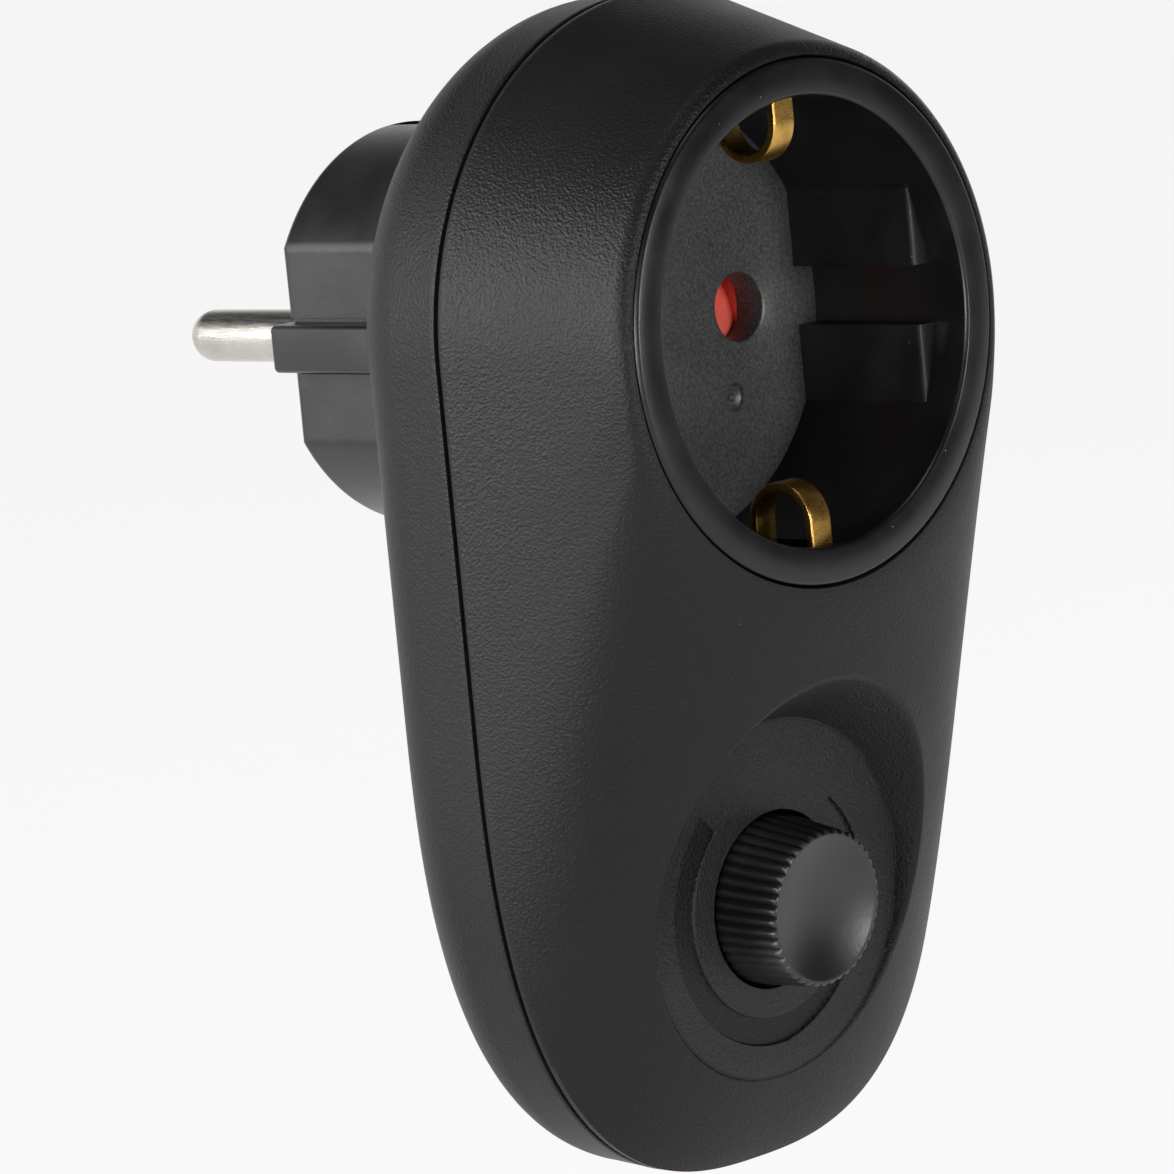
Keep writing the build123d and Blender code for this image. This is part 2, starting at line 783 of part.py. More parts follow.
def wiper():
    z = -wiper_z + wiper_thickness / 2
    disc = Pos(0, 0, z) * Cylinder(wiper_radius, wiper_thickness)
    disc -= Pos(0, 0, z) * Cylinder(shaft_radius + touch, 2 * wiper_thickness)
    disc -= Pos(0, wiper_radius, z) * Box(2 * wiper_radius, wiper_radius, 2 * wiper_thickness)
    return local(disc)


def pot_case():
    height = pot_case_height
    case = Pos(0, 0, -board_front + height / 2) * Cylinder(pot_case_radius, height)
    case += Pos(0, 0, -board_front + height + bush_height / 2) * Cylinder(bush_radius, bush_height)
    hollow_height = height - 2 * pot_case_wall
    case -= Pos(0, 0, -board_front + height / 2) * Cylinder(pot_case_radius - pot_case_wall, hollow_height)
    bore = Cylinder(shaft_radius + touch, 2 * (bush_height + pot_case_wall))
    case -= Pos(0, 0, -board_front + height) * bore
    case -= Pos(0, 0, -board_front) * Cylinder(pivot_radius + touch, 3 * pot_case_wall)
    return local(case)


def pot_track():
    z = -board_front + pot_case_wall + track_thickness / 2
    track = Cylinder(track_radius, track_thickness) - Cylinder(track_bore, track_thickness)
    return local(Pos(0, 0, z) * track)


def pot_lugs():
    lugs = []
    for u in (-pot_lug_pitch, 0, pot_lug_pitch):
        low = -board_back - overrun
        high = low + pot_lug_reach + overrun
        blade = Box(pot_lug_width, pot_lug_thickness, high - low)
        place = Pos(u, -pot_case_radius - pot_lug_thickness, (low + high) / 2)
        lugs.append(local(place * blade))
    return Compound(children=lugs)


def board():
    width = 2 * board_half_width
    height = board_top + board_bottom
    outline = Rectangle(width, height)
    low_corners = outline.vertices().group_by(Axis.Y)[0]
    outline = fillet(low_corners, board_round)
    plate = extrude(Pos(0, (board_top - board_bottom) / 2) * outline, board_thickness)
    plate = Pos(0, 0, -board_back) * plate
    for u in (-pot_lug_pitch, 0, pot_lug_pitch):
        slot = Box(pot_lug_width + slip, pot_lug_thickness + slip, 2 * board_back)
        plate -= Pos(u, -pot_case_radius - pot_lug_thickness, -board_back) * slot
    for u in (-board_screw_u, board_screw_u):
        plate -= Pos(u, -board_screw_v, -board_back) * Cylinder(board_screw_radius + touch, 2 * board_back)
    for index in (-1, 0, 1):
        lead = triac_lead_pitch * index
        slot = Box(triac_lead_width + slip, triac_lead_width + slip, 2 * board_back)
        plate -= Pos(lead, triac_v - triac_body_length / 2 - triac_lead_length, -board_back) * slot
    return local(plate)


def board_screws():
    screws = []
    for u in (-board_screw_u, board_screw_u):
        head = Pos(u, -board_screw_v, -board_front + board_screw_head / 2)
        shank = Pos(u, -board_screw_v, -board_front - board_screw_length / 2)
        screw = head * Cylinder(board_screw_head_radius, board_screw_head)
        screw += shank * Cylinder(board_screw_radius - touch, board_screw_length)
        screws.append(local(screw))
    return Compound(children=screws)


def choke_core():
    z = -board_front + winding_thickness + choke_height / 2
    core = Cylinder(choke_radius, choke_height) - Cylinder(choke_bore, choke_height)
    return local(Pos(-choke_u, choke_v, z) * core)


def choke_winding():
    """The copper winding round the core, as the sleeve that its turns fill."""
    z = -board_front + winding_thickness + choke_height / 2
    grown = winding_thickness
    sleeve = Cylinder(choke_radius + grown, choke_height + 2 * grown)
    sleeve -= Cylinder(choke_bore - grown, choke_height + 2 * grown)
    sleeve -= Cylinder(choke_radius, choke_height) - Cylinder(choke_bore, choke_height)
    gap = Pos(0, choke_radius, 0) * Box(choke_bore, 2 * choke_radius, 2 * choke_height)
    return local(Pos(-choke_u, choke_v, z) * (sleeve - gap))


def film_capacitor():
    block = Box(film_width, film_depth, film_height)
    block = chamfer(block.edges().group_by(Axis.Z)[-1], edge_break)
    return local(Pos(film_u, film_v, -board_front + film_height / 2) * block)


def timing_capacitors():
    blocks = []
    for index in (0, 1):
        v = timing_v - index * timing_pitch
        block = Box(timing_width, timing_depth, timing_height)
        block = fillet(block.edges().group_by(Axis.Z)[-1], timing_depth / 4)
        blocks.append(local(Pos(timing_u, v, -board_front + timing_height / 2) * block))
    return Compound(children=blocks)


def axial_part(radius, length, u, v):
    """A part lying along v, with its two leads bent down to the board."""
    z = -board_front + resistor_lift
    reach = length / 2 + 2 * lead_radius + lead_radius
    body = Pos(u, v, z) * Rot(90, 0, 0) * Cylinder(radius, length)
    body += Pos(u, v, z) * Rot(90, 0, 0) * Cylinder(lead_radius, 2 * reach)
    for side in (-1, 1):
        drop = Cylinder(lead_radius, resistor_lift)
        body += Pos(u, v + side * reach, z - resistor_lift / 2) * drop
    return local(body)


def resistors():
    places = [resistor_v, resistor_v - resistor_pitch]
    parts = [axial_part(resistor_radius, resistor_length, -resistor_u, v) for v in places]
    return Compound(children=parts)


def diac():
    return axial_part(diac_radius, diac_length, resistor_u, resistor_v - resistor_pitch + lead_radius)


def fuse():
    z = -board_front + fuse_lift
    tube = Rot(0, 90, 0) * Cylinder(fuse_radius, fuse_length)
    return local(Pos(0, -fuse_v, z) * tube)


def fuse_clips():
    """Two spring clips: a floor on the board and two cheeks that hold the fuse's cap."""
    clips = []
    z = -board_front + fuse_lift
    outer_radius = fuse_radius + touch + fuse_clip_thickness
    for side in (-1, 1):
        u = side * (fuse_length - fuse_cap) / 2
        ring = Rot(0, 90, 0) * Cylinder(outer_radius, fuse_clip_width)
        ring -= Rot(0, 90, 0) * Cylinder(fuse_radius + touch, fuse_clip_width)
        ring -= Pos(0, 0, outer_radius) * Box(2 * fuse_clip_width, fuse_clip_opening, 2 * fuse_radius)
        foot_height = fuse_lift - fuse_radius - touch
        foot = Box(fuse_clip_width, fuse_clip_width, foot_height)
        clip = ring + Pos(0, 0, -fuse_lift + foot_height / 2) * foot
        clips.append(local(Pos(u, -fuse_v, z) * clip))
    return Compound(children=clips)


def triac():
    z = -board_back
    body = Box(triac_width, triac_body_length, triac_body_height)
    body = Pos(0, triac_v, z - triac_body_height / 2) * body
    tab_v = triac_v + triac_body_length / 2 + triac_tab_length / 2
    tab_z = -sink_front + triac_tab_thickness / 2
    tab = Pos(0, tab_v, tab_z) * Box(triac_width, triac_tab_length, triac_tab_thickness)
    tab -= Pos(0, sink_screw_v, tab_z) * Cylinder(sink_screw_radius + touch, 2 * triac_tab_thickness)
    part = body + tab
    for index in (-1, 0, 1):
        lead = triac_lead_pitch * index
        v = triac_v - triac_body_length / 2 - triac_lead_length
        run_z = z - triac_lead_width
        run = Box(triac_lead_width, triac_lead_length + triac_lead_width / 2, triac_lead_width)
        run_v = v + (triac_lead_length - triac_lead_width / 2) / 2
        part += Pos(lead, run_v, run_z) * run
        rise = Box(triac_lead_width, triac_lead_width, board_thickness + triac_lead_width)
        part += Pos(lead, v, run_z + (board_thickness + triac_lead_width) / 2) * rise
    return local(part)


def heat_sink():
    height = sink_top + sink_bottom
    plate = Box(2 * sink_half_width, height, sink_thickness)
    plate = fillet(plate.edges().filter_by(Axis.Z), sink_round)
    plate = Pos(0, (sink_top - sink_bottom) / 2, -sink_front - sink_thickness / 2) * plate
    plate -= Pos(0, sink_screw_v, -sink_front) * Cylinder(sink_screw_radius - touch, 4 * sink_thickness)
    return local(plate)


def sink_screw():
    head_z = -sink_front + triac_tab_thickness
    screw = Cylinder(sink_screw_head_radius, sink_screw_head)
    screw = Pos(0, sink_screw_v, head_z + sink_screw_head / 2) * screw
    length = triac_tab_thickness + sink_thickness
    screw += Pos(0, sink_screw_v, head_z - length / 2) * Cylinder(sink_screw_radius - touch, length)
    return local(screw)


def case_screws():
    screws = []
    for x in (-screw_x, screw_x):
        screw = drum(case_screw_radius, head_seat - case_screw_length, head_seat, x, screw_z)
        head = drum(case_screw_head_radius, head_seat, head_seat + case_screw_head, x, screw_z)
        cross = Box(case_screw_radius / 2, case_screw_head, 2 * case_screw_radius)
        cross += Box(2 * case_screw_radius, case_screw_head, case_screw_radius / 2)
        head -= Pos(x, head_seat + case_screw_head, screw_z) * cross
        screws.append(screw + head)
    return Compound(children=screws)


def save(name, shape):
    export_step(shape, os.path.join("parts", name + ".step"))


lower_earth = Rot(0, 180, 0) * earth_strap()
nodes = {
    "front_shell": front_shell(),
    "rear_shell": rear_shell(),
    "plug_body": plug_body(),
    "socket_insert": socket_insert(),
    "shutter": shutter(),
    "shutter_spring": shutter_spring(),
    "shutter_cover": shutter_cover(),
    "cover_screws": cover_screws(),
    "earth_strap_upper": earth_strap(),
    "earth_strap_lower": lower_earth,
    "plug_pin_neutral": plug_pin(-pin_x),
    "plug_pin_live": plug_pin(pin_x),
    "pin_carrier": pin_carrier(),
    "neutral_contact": socket_contact(-pin_x, flange_y),
    "live_contact": socket_contact(pin_x, flange_y - insulator),
    "live_insulator": live_insulator(),
    "live_wire_in": live_wire_in(),
    "live_wire_out": live_wire_out(),
    "knob": knob(),
    "dimmer_shaft": dimmer_shaft(),
    "wiper": wiper(),
    "pot_case": pot_case(),
    "pot_track": pot_track(),
    "pot_lugs": pot_lugs(),
    "board": board(),
    "board_screws": board_screws(),
    "choke_core": choke_core(),
    "choke_winding": choke_winding(),
    "film_capacitor": film_capacitor(),
    "timing_capacitors": timing_capacitors(),
    "resistors": resistors(),
    "diac": diac(),
    "fuse": fuse(),
    "fuse_clips": fuse_clips(),
    "triac": triac(),
    "heat_sink": heat_sink(),
    "sink_screw": sink_screw(),
    "case_screws": case_screws(),
}
for name, shape in nodes.items():
    save(name, shape)
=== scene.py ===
import json

import bmesh
import bpy
import numpy as np
from mathutils import Matrix, Vector


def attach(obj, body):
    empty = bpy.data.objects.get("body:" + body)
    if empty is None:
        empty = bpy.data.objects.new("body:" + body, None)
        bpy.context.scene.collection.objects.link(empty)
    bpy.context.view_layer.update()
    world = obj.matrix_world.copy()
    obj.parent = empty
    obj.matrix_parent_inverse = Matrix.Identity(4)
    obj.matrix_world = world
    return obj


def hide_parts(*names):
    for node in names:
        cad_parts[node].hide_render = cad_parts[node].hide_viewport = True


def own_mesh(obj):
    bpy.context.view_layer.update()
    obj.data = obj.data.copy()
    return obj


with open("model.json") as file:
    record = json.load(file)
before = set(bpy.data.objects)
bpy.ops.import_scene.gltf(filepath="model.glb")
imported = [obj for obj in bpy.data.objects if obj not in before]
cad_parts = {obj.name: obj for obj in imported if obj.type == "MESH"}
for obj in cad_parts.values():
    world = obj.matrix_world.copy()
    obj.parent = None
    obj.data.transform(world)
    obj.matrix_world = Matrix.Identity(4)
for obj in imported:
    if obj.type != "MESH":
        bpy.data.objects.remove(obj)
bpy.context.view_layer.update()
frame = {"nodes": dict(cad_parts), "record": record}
mm = 0.001  # every size below is in millimetres
onAxis = 0.0005  # radius of the small ring that closes a turned shape on its axis
print("frame loaded:", len(frame["nodes"]), "nodes")

# Places that the housing's own pieces share
housing = {
    "collarFront": -49.4, "joint": -32.2, "rearEdge": -31.85, "back": -18.0,
    "bodyRadius": 29.15, "sideLength": 31.5, "chinHeight": 44.0, "chinPower": 2.64, "chinBulge": 0.6,
    "collarRadius": 24.0, "collarBore": 22.92, "collarRound": 1.04, "lip": 0.8, "wall": 2.2,
}
seat = {
    "centre": (0, -38.13, -51.56), "tilt": 4.0, "radius": 16.2, "flare": 30.0, "hole": 8.05,
    "rimRound": 0.55, "markInner": 10.65, "markOuter": 13.1, "markThin": 0.25, "markDepth": 0.3,
    "markStart": 135, "markFull": 275, "markStop": 406, "markEdge": 0.08, "markTaper": 0.85,
    "patchRadius": 19.6, "patchSwell": 2.7, "patchLowest": -9,
}


# Meshes

def gridFaces(rows, columns):
    # Quads between neighbouring rows, each row a closed ring.
    i, j = np.meshgrid(np.arange(rows - 1), np.arange(columns), indexing="ij")
    k = (j + 1) % columns
    low, high = i * columns, (i + 1) * columns
    return np.stack([low + j, low + k, high + k, high + j], -1).reshape(-1, 4)


def joinSurfaces(parts):
    points, faces, start = [], [], 0
    for somePoints, someFaces in parts:
        points.append(somePoints.reshape(-1, 3))
        faces.append(someFaces + start)
        start += len(points[-1])
    return np.concatenate(points), np.concatenate(faces)


def smoothShading(mesh, sharp=None):
    mesh.polygons.foreach_set("use_smooth", np.ones(len(mesh.polygons), bool))
    if sharp:
        mesh.set_sharp_from_angle(angle=np.radians(sharp))


def finishPiece(piece, finish, body, nodes, sharp):
    # Welds the mesh, turns its faces outward and hangs the piece on its body.
    weld = {"merge": 0.002, "shortest": 0.001}
    bpy.context.scene.collection.objects.link(piece)
    mesh = piece.data
    build = bmesh.new()
    build.from_mesh(mesh)
    bmesh.ops.remove_doubles(build, verts=build.verts, dist=weld["merge"] * mm)
    bmesh.ops.dissolve_degenerate(build, edges=build.edges, dist=weld["shortest"] * mm)
    bmesh.ops.recalc_face_normals(build, faces=build.faces)
    build.to_mesh(mesh)
    build.free()
    smoothShading(mesh, sharp)
    mesh.materials.clear()
    mesh.materials.append(finishes[finish])
    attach(piece, body)
    if nodes:
        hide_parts(*nodes)
    return piece


def pieceFrom(name, points, faces, finish, body, nodes=(), sharp=None):
    mesh = bpy.data.meshes.new(name)
    points = points.reshape(-1, 3)
    mesh.vertices.add(len(points))
    mesh.vertices.foreach_set("co", (points * mm).ravel())
    mesh.loops.add(faces.size)
    mesh.loops.foreach_set("vertex_index", faces.ravel().astype(np.int32))
    mesh.polygons.add(len(faces))
    mesh.polygons.foreach_set("loop_start", np.arange(0, faces.size, faces.shape[1]).astype(np.int32))
    mesh.update(calc_edges=True)
    mesh.validate()
    return finishPiece(bpy.data.objects.new(name, mesh), finish, body, nodes, sharp)


def smoothCopy(name, node, finish, body, sharp=32):
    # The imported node's own shape, its loose triangles joined so that round faces shade round.
    mesh = frame["nodes"][node].data.copy()
    normals = np.empty(3 * len(mesh.vertices), np.float32)
    mesh.vertices.foreach_get("normal", normals)
    mesh.normals_split_custom_set_from_vertices(normals.reshape(-1, 3).tolist())
    return finishPiece(bpy.data.objects.new(name, mesh), finish, body, [node], sharp)


def lathe(profile, columns):
    # A profile of (radius, y) carried round the y axis.
    radius, along = np.array(profile, float).T
    angle = np.linspace(0, 2 * np.pi, columns, endpoint=False)
    x = radius[:, None] * np.cos(angle)
    z = radius[:, None] * np.sin(angle)
    y = along[:, None] + 0 * angle
    return np.stack([x, y, z], -1), gridFaces(len(radius), columns)


def rod(radius, y0, y1, x=0, z=0, columns=64):
    # A closed cylinder along y.
    points, faces = lathe([(onAxis, y0), (radius, y0), (radius, y1), (onAxis, y1)], columns)
    return points + np.array([x, 0, z]), faces


def box(x0, x1, y0, y1, z0, z1):
    corners = np.array([(x, y, z) for x in (x0, x1) for y in (y0, y1) for z in (z0, z1)], float)
    sides = np.array([(0, 1, 3, 2), (4, 6, 7, 5), (0, 4, 5, 1), (2, 3, 7, 6), (0, 2, 6, 4), (1, 5, 7, 3)])
    return corners, sides


def arcPoints(centre, radius, start, stop, count):
    angle = np.radians(np.linspace(start, stop, count))
    return [(centre[0] + radius * np.cos(a), centre[1] + radius * np.sin(a)) for a in angle]


def cutAway(piece, cutters, sharp):
    # Takes closed shapes out of a closed piece, then sets its shading again.
    tools = []
    for points, faces in cutters:
        mesh = bpy.data.meshes.new("cutter")
        mesh.from_pydata((points.reshape(-1, 3) * mm).tolist(), [], faces.tolist())
        tool = bpy.data.objects.new("cutter", mesh)
        build = bmesh.new()
        build.from_mesh(mesh)
        bmesh.ops.remove_doubles(build, verts=build.verts, dist=0.001 * mm)
        bmesh.ops.recalc_face_normals(build, faces=build.faces)
        build.to_mesh(mesh)
        build.free()
        bpy.context.scene.collection.objects.link(tool)
        cut = piece.modifiers.new("cut", "BOOLEAN")
        cut.operation = "DIFFERENCE"
        cut.solver = "EXACT"
        cut.object = tool
        tools.append(tool)
    mesh = bpy.data.meshes.new_from_object(piece.evaluated_get(bpy.context.evaluated_depsgraph_get()))
    piece.modifiers.clear()
    piece.data = mesh
    for tool in tools:
        bpy.data.objects.remove(tool)
    smoothShading(mesh, sharp)


# Materials

def linear(code):
    # An sRGB hex colour as the linear values that the shader takes.
    value = np.array([int(code[i:i + 2], 16) for i in (1, 3, 5)]) / 255
    value = np.where(value <= 0.04045, value / 12.92, ((value + 0.055) / 1.055) ** 2.4)
    return (*value, 1.0)


def grey(value):
    return (value, value, value, 1)


def perMetre(size):
    # The scale that gives a pattern features of this size in millimetres.
    return 1 / (size * mm)


def addNode(material, kind, settings=None, links=None):
    # One node with its settings and its links; a link is input: (node, output).
    node = material.node_tree.nodes.new(kind)
    for key, value in (settings or {}).items():
        if key in node.inputs:
            node.inputs[key].default_value = value
        else:
            setattr(node, key, value)
    for key, (source, output) in (links or {}).items():
        material.node_tree.links.new(source.outputs[output], node.inputs[key])
    return node


def newMaterial(name):
    material = bpy.data.materials.new(name)
    material.use_nodes = True
    return material, material.node_tree.nodes["Principled BSDF"]


def join(material, source, output, shader, key):
    material.node_tree.links.new(source.outputs[output], shader.inputs[key])


def ramp(material, source, output, stops):
    node = addNode(material, "ShaderNodeValToRGB", links={"Fac": (source, output)})
    for element, (place, colour) in zip(node.color_ramp.elements, stops):
        element.position = place
        element.color = colour
    return node


def blend(material, share, first, second):
    # Mixes two colours by a share; each of the three is (node, output).
    node = addNode(material, "ShaderNodeMix", {"data_type": "RGBA"})
    for place, (source, output) in zip((0, 6, 7), (share, first, second)):
        join(material, source, output, node, place)
    return node


def maths(material, operation, first, second):
    return addNode(material, "ShaderNodeMath", {"operation": operation}, {0: first, 1: second})


def shareOf(material, source, low, high):
    # 0 where the value is at low, 1 where it is at high.
    return addNode(material, "ShaderNodeMapRange", {"From Min": low, "From Max": high}, {"Value": source})


def noise(material, place, size, detail, **settings):
    settings = {"Scale": perMetre(size), "Detail": detail, **settings}
    return addNode(material, "ShaderNodeTexNoise", settings, {"Vector": place})


def tones(material, source, stops, dark, light):
    return ramp(material, source, "Fac", list(zip(stops, (linear(dark), linear(light)))))


def roughnessFrom(material, shader, source, look):
    low, high = look["roughness"]
    rough = ramp(material, source, "Fac", [(0.3, grey(low)), (0.7, grey(high))])
    join(material, rough, "Color", shader, "Roughness")


def mouldedPlastic(name, look):
    # Moulded plastic: a spark-eroded or polished mould gives fine grain, soft gloss and a little dust.
    own = {"toneStops": (0.35, 0.7), "mottleStops": (0.36, 0.66), "markStops": (0.4, 0.8), "cellSize": 1.3,
           "dustColour": "#b9b6b0"}
    material, shader = newMaterial(name)
    place = (addNode(material, "ShaderNodeTexCoord"), "Object")
    broad = noise(material, place, look["patch"], 3.0)
    grain = noise(material, place, look["grain"], 2.0, Roughness=0.55)
    cellScale = perMetre(look["grain"] * own["cellSize"])
    cells = addNode(material, "ShaderNodeTexVoronoi", {"Scale": cellScale, "feature": "SMOOTH_F1"}, {"Vector": place})
    tone = (tones(material, broad, own["toneStops"], look["colour"], look["lighter"]), "Color")
    dustScale = perMetre(look["dustSpacing"])
    specks = addNode(material, "ShaderNodeTexVoronoi", {"Scale": dustScale, "Randomness": 1.0}, {"Vector": place})
    speckSize = look["dustSize"] / look["dustSpacing"]
    dust = ramp(material, specks, "Distance", [(0.0, grey(look["dust"])), (speckSize, grey(0))])
    colour = addNode(material, "ShaderNodeMix", {"data_type": "RGBA"})
    join(material, dust, "Color", colour, 0)
    if "floor" in look:  # painted sheen: the socket's floor is painted paler and more mottled than its walls, for the sheen it catches
        axes = addNode(material, "ShaderNodeSeparateXYZ", links={"Vector": place})
        low, high = look["floor"]
        onFloor = shareOf(material, (axes, "Y"), low * mm, high * mm)
        floorSheen = tones(material, grain, own["mottleStops"], look["floorSheenDark"], look["floorSheenLight"])
        tone = (blend(material, (onFloor, "Result"), tone, (floorSheen, "Color")), 2)
    if "markShadeTone" in look:  # painted sheen and shade: the knob's seat is painted paler and mottled for the sheen its grain catches, and the level mark sunk in it is smooth and painted darker for the shade in it
        onSeat = addNode(material, "ShaderNodeAttribute", {"attribute_name": "seatShare"})
        onMark = addNode(material, "ShaderNodeAttribute", {"attribute_name": "markShare"})
        seatSheen = tones(material, grain, own["mottleStops"], look["seatSheenDark"], look["seatSheenLight"])
        markShade = tones(material, broad, own["markStops"], look["markShadeTone"], look["colour"])
        tone = (blend(material, (onSeat, "Fac"), tone, (seatSheen, "Color")), 2)
        tone = (blend(material, (onMark, "Fac"), tone, (markShade, "Color")), 2)
    join(material, *tone, colour, 6)
    colour.inputs[7].default_value = linear(own["dustColour"])
    join(material, colour, 2, shader, "Base Color")
    roughnessFrom(material, shader, broad, look)
    relief = {"Strength": look["grainStrength"], "Distance": look["grainDepth"] * mm}
    fine = addNode(material, "ShaderNodeBump", relief, {"Height": (grain, "Fac")})
    coarse = addNode(material, "ShaderNodeBump", relief, {"Height": (cells, "Distance"), "Normal": (fine, "Normal")})
    join(material, coarse, "Normal", shader, "Normal")
    shader.inputs["IOR"].default_value = look["ior"]
    shader.inputs["Specular IOR Level"].default_value = look["shine"]
    return material


def workedMetal(name, look):
    # Rolled, drawn or plated metal: fine lines along one direction, and tarnish in soft patches.
    own = {"toneStops": (0.35, 0.68), "lineStrength": 0.35}
    material, shader = newMaterial(name)
    place = (addNode(material, "ShaderNodeTexCoord"), "Object")
    lines = addNode(material, "ShaderNodeMapping", {"Scale": look["stretch"]}, {"Vector": place})
    scratches = noise(material, (lines, "Vector"), look["line"], 3.0)
    tarnish = noise(material, place, look["patch"], 3.0)
    tone = tones(material, tarnish, own["toneStops"], look["colour"], look["lighter"])
    join(material, tone, "Color", shader, "Base Color")
    roughnessFrom(material, shader, scratches, look)
    relief = {"Strength": own["lineStrength"], "Distance": look["depth"] * mm}
    bump = addNode(material, "ShaderNodeBump", relief, {"Height": (scratches, "Fac")})
    join(material, bump, "Normal", shader, "Normal")
    shader.inputs["Metallic"].default_value = 1.0
    return material


plainPlastic = {  # what a plastic has where its own look says nothing else
    "patch": 5, "grain": 0.5, "grainStrength": 0.2, "grainDepth": 0.02, "roughness": (0.3, 0.4),
    "ior": 1.5, "shine": 0.5, "dustSpacing": 6, "dustSize": 0.05, "dust": 0.3,
}
plasticLooks = {
    "housingAbs": {
        # The seat tones are painted sheen, and the mark tone is painted shade.
        "colour": "#0c0c0d", "lighter": "#101011", "seatSheenDark": "#141415", "seatSheenLight": "#272728",
        "markShadeTone": "#0a0a0b", "patch": 14, "grain": 0.2, "grainStrength": 1.0, "grainDepth": 0.055,
        "roughness": (0.42, 0.5), "ior": 1.53, "shine": 0.24, "dustSpacing": 5.5, "dustSize": 0.07, "dust": 0.7,
    },
    "socketNylon": {
        # The floor tones are painted sheen on the socket's floor.
        "colour": "#0b0b0c", "lighter": "#101011", "floor": (-31.66, -31.56), "floorSheenDark": "#383839",
        "floorSheenLight": "#565657", "grain": 0.3, "grainStrength": 0.3, "roughness": (0.28, 0.4), "ior": 1.53,
        "shine": 0.4, "dustSpacing": 3.2, "dustSize": 0.09, "dust": 0.8,
    },
    "insertNylon": {
        "colour": "#111112", "lighter": "#171718", "patch": 7, "grain": 0.6, "grainStrength": 0.3,
        "grainDepth": 0.03, "roughness": (0.28, 0.38), "ior": 1.53, "dustSpacing": 4.6, "dustSize": 0.07, "dust": 0.6,
    },
    "knobAbs": {
        "colour": "#121213", "lighter": "#181819", "patch": 8, "grain": 0.4, "grainStrength": 0.3,
        "grainDepth": 0.03, "ior": 1.53, "shine": 0.6, "dustSpacing": 3.8, "dustSize": 0.08, "dust": 0.7,
    },
    "redAcetal": {
        "colour": "#f0594c", "lighter": "#f86e60", "patch": 4, "roughness": (0.32, 0.42), "ior": 1.48,
        "dustSize": 0.04, "dust": 0.4,
    },
    "innerPlastic": {
        "colour": "#3a3a3b", "lighter": "#454546", "patch": 9, "grainStrength": 0.3, "grainDepth": 0.03,
        "roughness": (0.45, 0.55), "ior": 1.53,
    },
    "boardLaminate": {
        "colour": "#2f6a3c", "lighter": "#3a7a47", "patch": 6, "grain": 0.6, "grainStrength": 0.3,
        "grainDepth": 0.03, "roughness": (0.3, 0.42),
    },
    "blackEpoxy": {
        "colour": "#1e1e1f", "lighter": "#28282a", "grain": 0.3, "grainStrength": 0.4, "grainDepth": 0.03,
        "roughness": (0.5, 0.6), "ior": 1.55,
    },
    "sinteredFerrite": {
        "colour": "#3c3c3d", "lighter": "#4a4a4b", "patch": 4, "grain": 0.25, "grainStrength": 0.5,
        "grainDepth": 0.04, "roughness": (0.5, 0.65), "ior": 1.6,
    },
    "yellowFilmBox": {"colour": "#c9b53a", "lighter": "#d6c450"},
    "resistorLacquer": {"colour": "#c7a877", "lighter": "#d4b788", "patch": 3, "grain": 0.4, "dust": 0.2},
    "wirePvc": {"colour": "#6b4026", "lighter": "#7a4b2e", "roughness": (0.4, 0.5), "ior": 1.53, "dust": 0.2},
}
metalLooks = {
    "rolledBrass": {
        "colour": "#b58a45", "lighter": "#d3a85c", "patch": 1.6, "line": 0.12, "stretch": (0.4, 1, 1),
        "depth": 0.02, "roughness": (0.24, 0.4),
    },
    "brightNickel": {
        "colour": "#b9b5ae", "lighter": "#d2cec7", "patch": 5, "line": 0.16, "stretch": (1, 0.08, 1),
        "depth": 0.008, "roughness": (0.2, 0.34),
    },
    "zincSteel": {
        "colour": "#9a9b9d", "lighter": "#b5b6b8", "patch": 4, "line": 0.15, "stretch": (1, 1, 0.4),
        "depth": 0.015, "roughness": (0.3, 0.45),
    },
    "enamelledCopper": {
        "colour": "#a85c34", "lighter": "#c47245", "patch": 4, "line": 0.4, "stretch": (1, 0.2, 1),
        "depth": 0.05, "roughness": (0.22, 0.35),
    },
    "rolledAluminium": {
        "colour": "#b9babb", "lighter": "#cccdce", "patch": 6, "line": 0.1, "stretch": (0.1, 1, 1),
        "depth": 0.01, "roughness": (0.3, 0.42),
    },
}
finishes = {name: mouldedPlastic(name, {**plainPlastic, **look}) for name, look in plasticLooks.items()}
finishes.update({name: workedMetal(name, look) for name, look in metalLooks.items()})
slotFinish = {
    "housing_abs": "housingAbs", "insert_nylon": "insertNylon", "knob_abs": "knobAbs", "shutter_red": "redAcetal",
    "brass_strip": "rolledBrass", "nickel_plate": "brightNickel", "zinc_steel": "zincSteel",
    "spring_steel": "zincSteel", "inner_plastic": "innerPlastic", "laminate": "boardLaminate",
    "ferrite": "sinteredFerrite", "copper_wire": "enamelledCopper", "film_box": "yellowFilmBox",
    "resistor_lacquer": "resistorLacquer", "fuse_glass": "innerPlastic", "black_epoxy": "blackEpoxy",
    "sink_aluminium": "rolledAluminium", "wire_pvc": "wirePvc",
}
nodeSlot = {entry["node"]: entry["material_slot"] for entry in frame["record"]["subparts"]}
for name, node in frame["nodes"].items():
    node.data.materials.clear()
    node.data.materials.append(finishes[slotFinish[nodeSlot[name]]])
print("materials ready:", len(finishes))


# Housing form: q runs down the right half of the outline, t from the collar (0) to the joint (1)

sideQ, chinQ, endQ = 6, 8, 17  # where the straight side starts, where the chin starts, and its lowest point
quarterStep, chinStep = 15, 10  # degrees to one step of q, in the quarter circle and in the chin
twistShares = (0.08, 0.16, 0.20, 0.26, 0.34, 0.44, 0.55, 0.67, 0.80, 0.91, 1.0)
quarterAngles = [90 - quarterStep * i for i in range(sideQ + 1)]
collarAngles = np.array(quarterAngles + [-90 * share for share in twistShares], float)


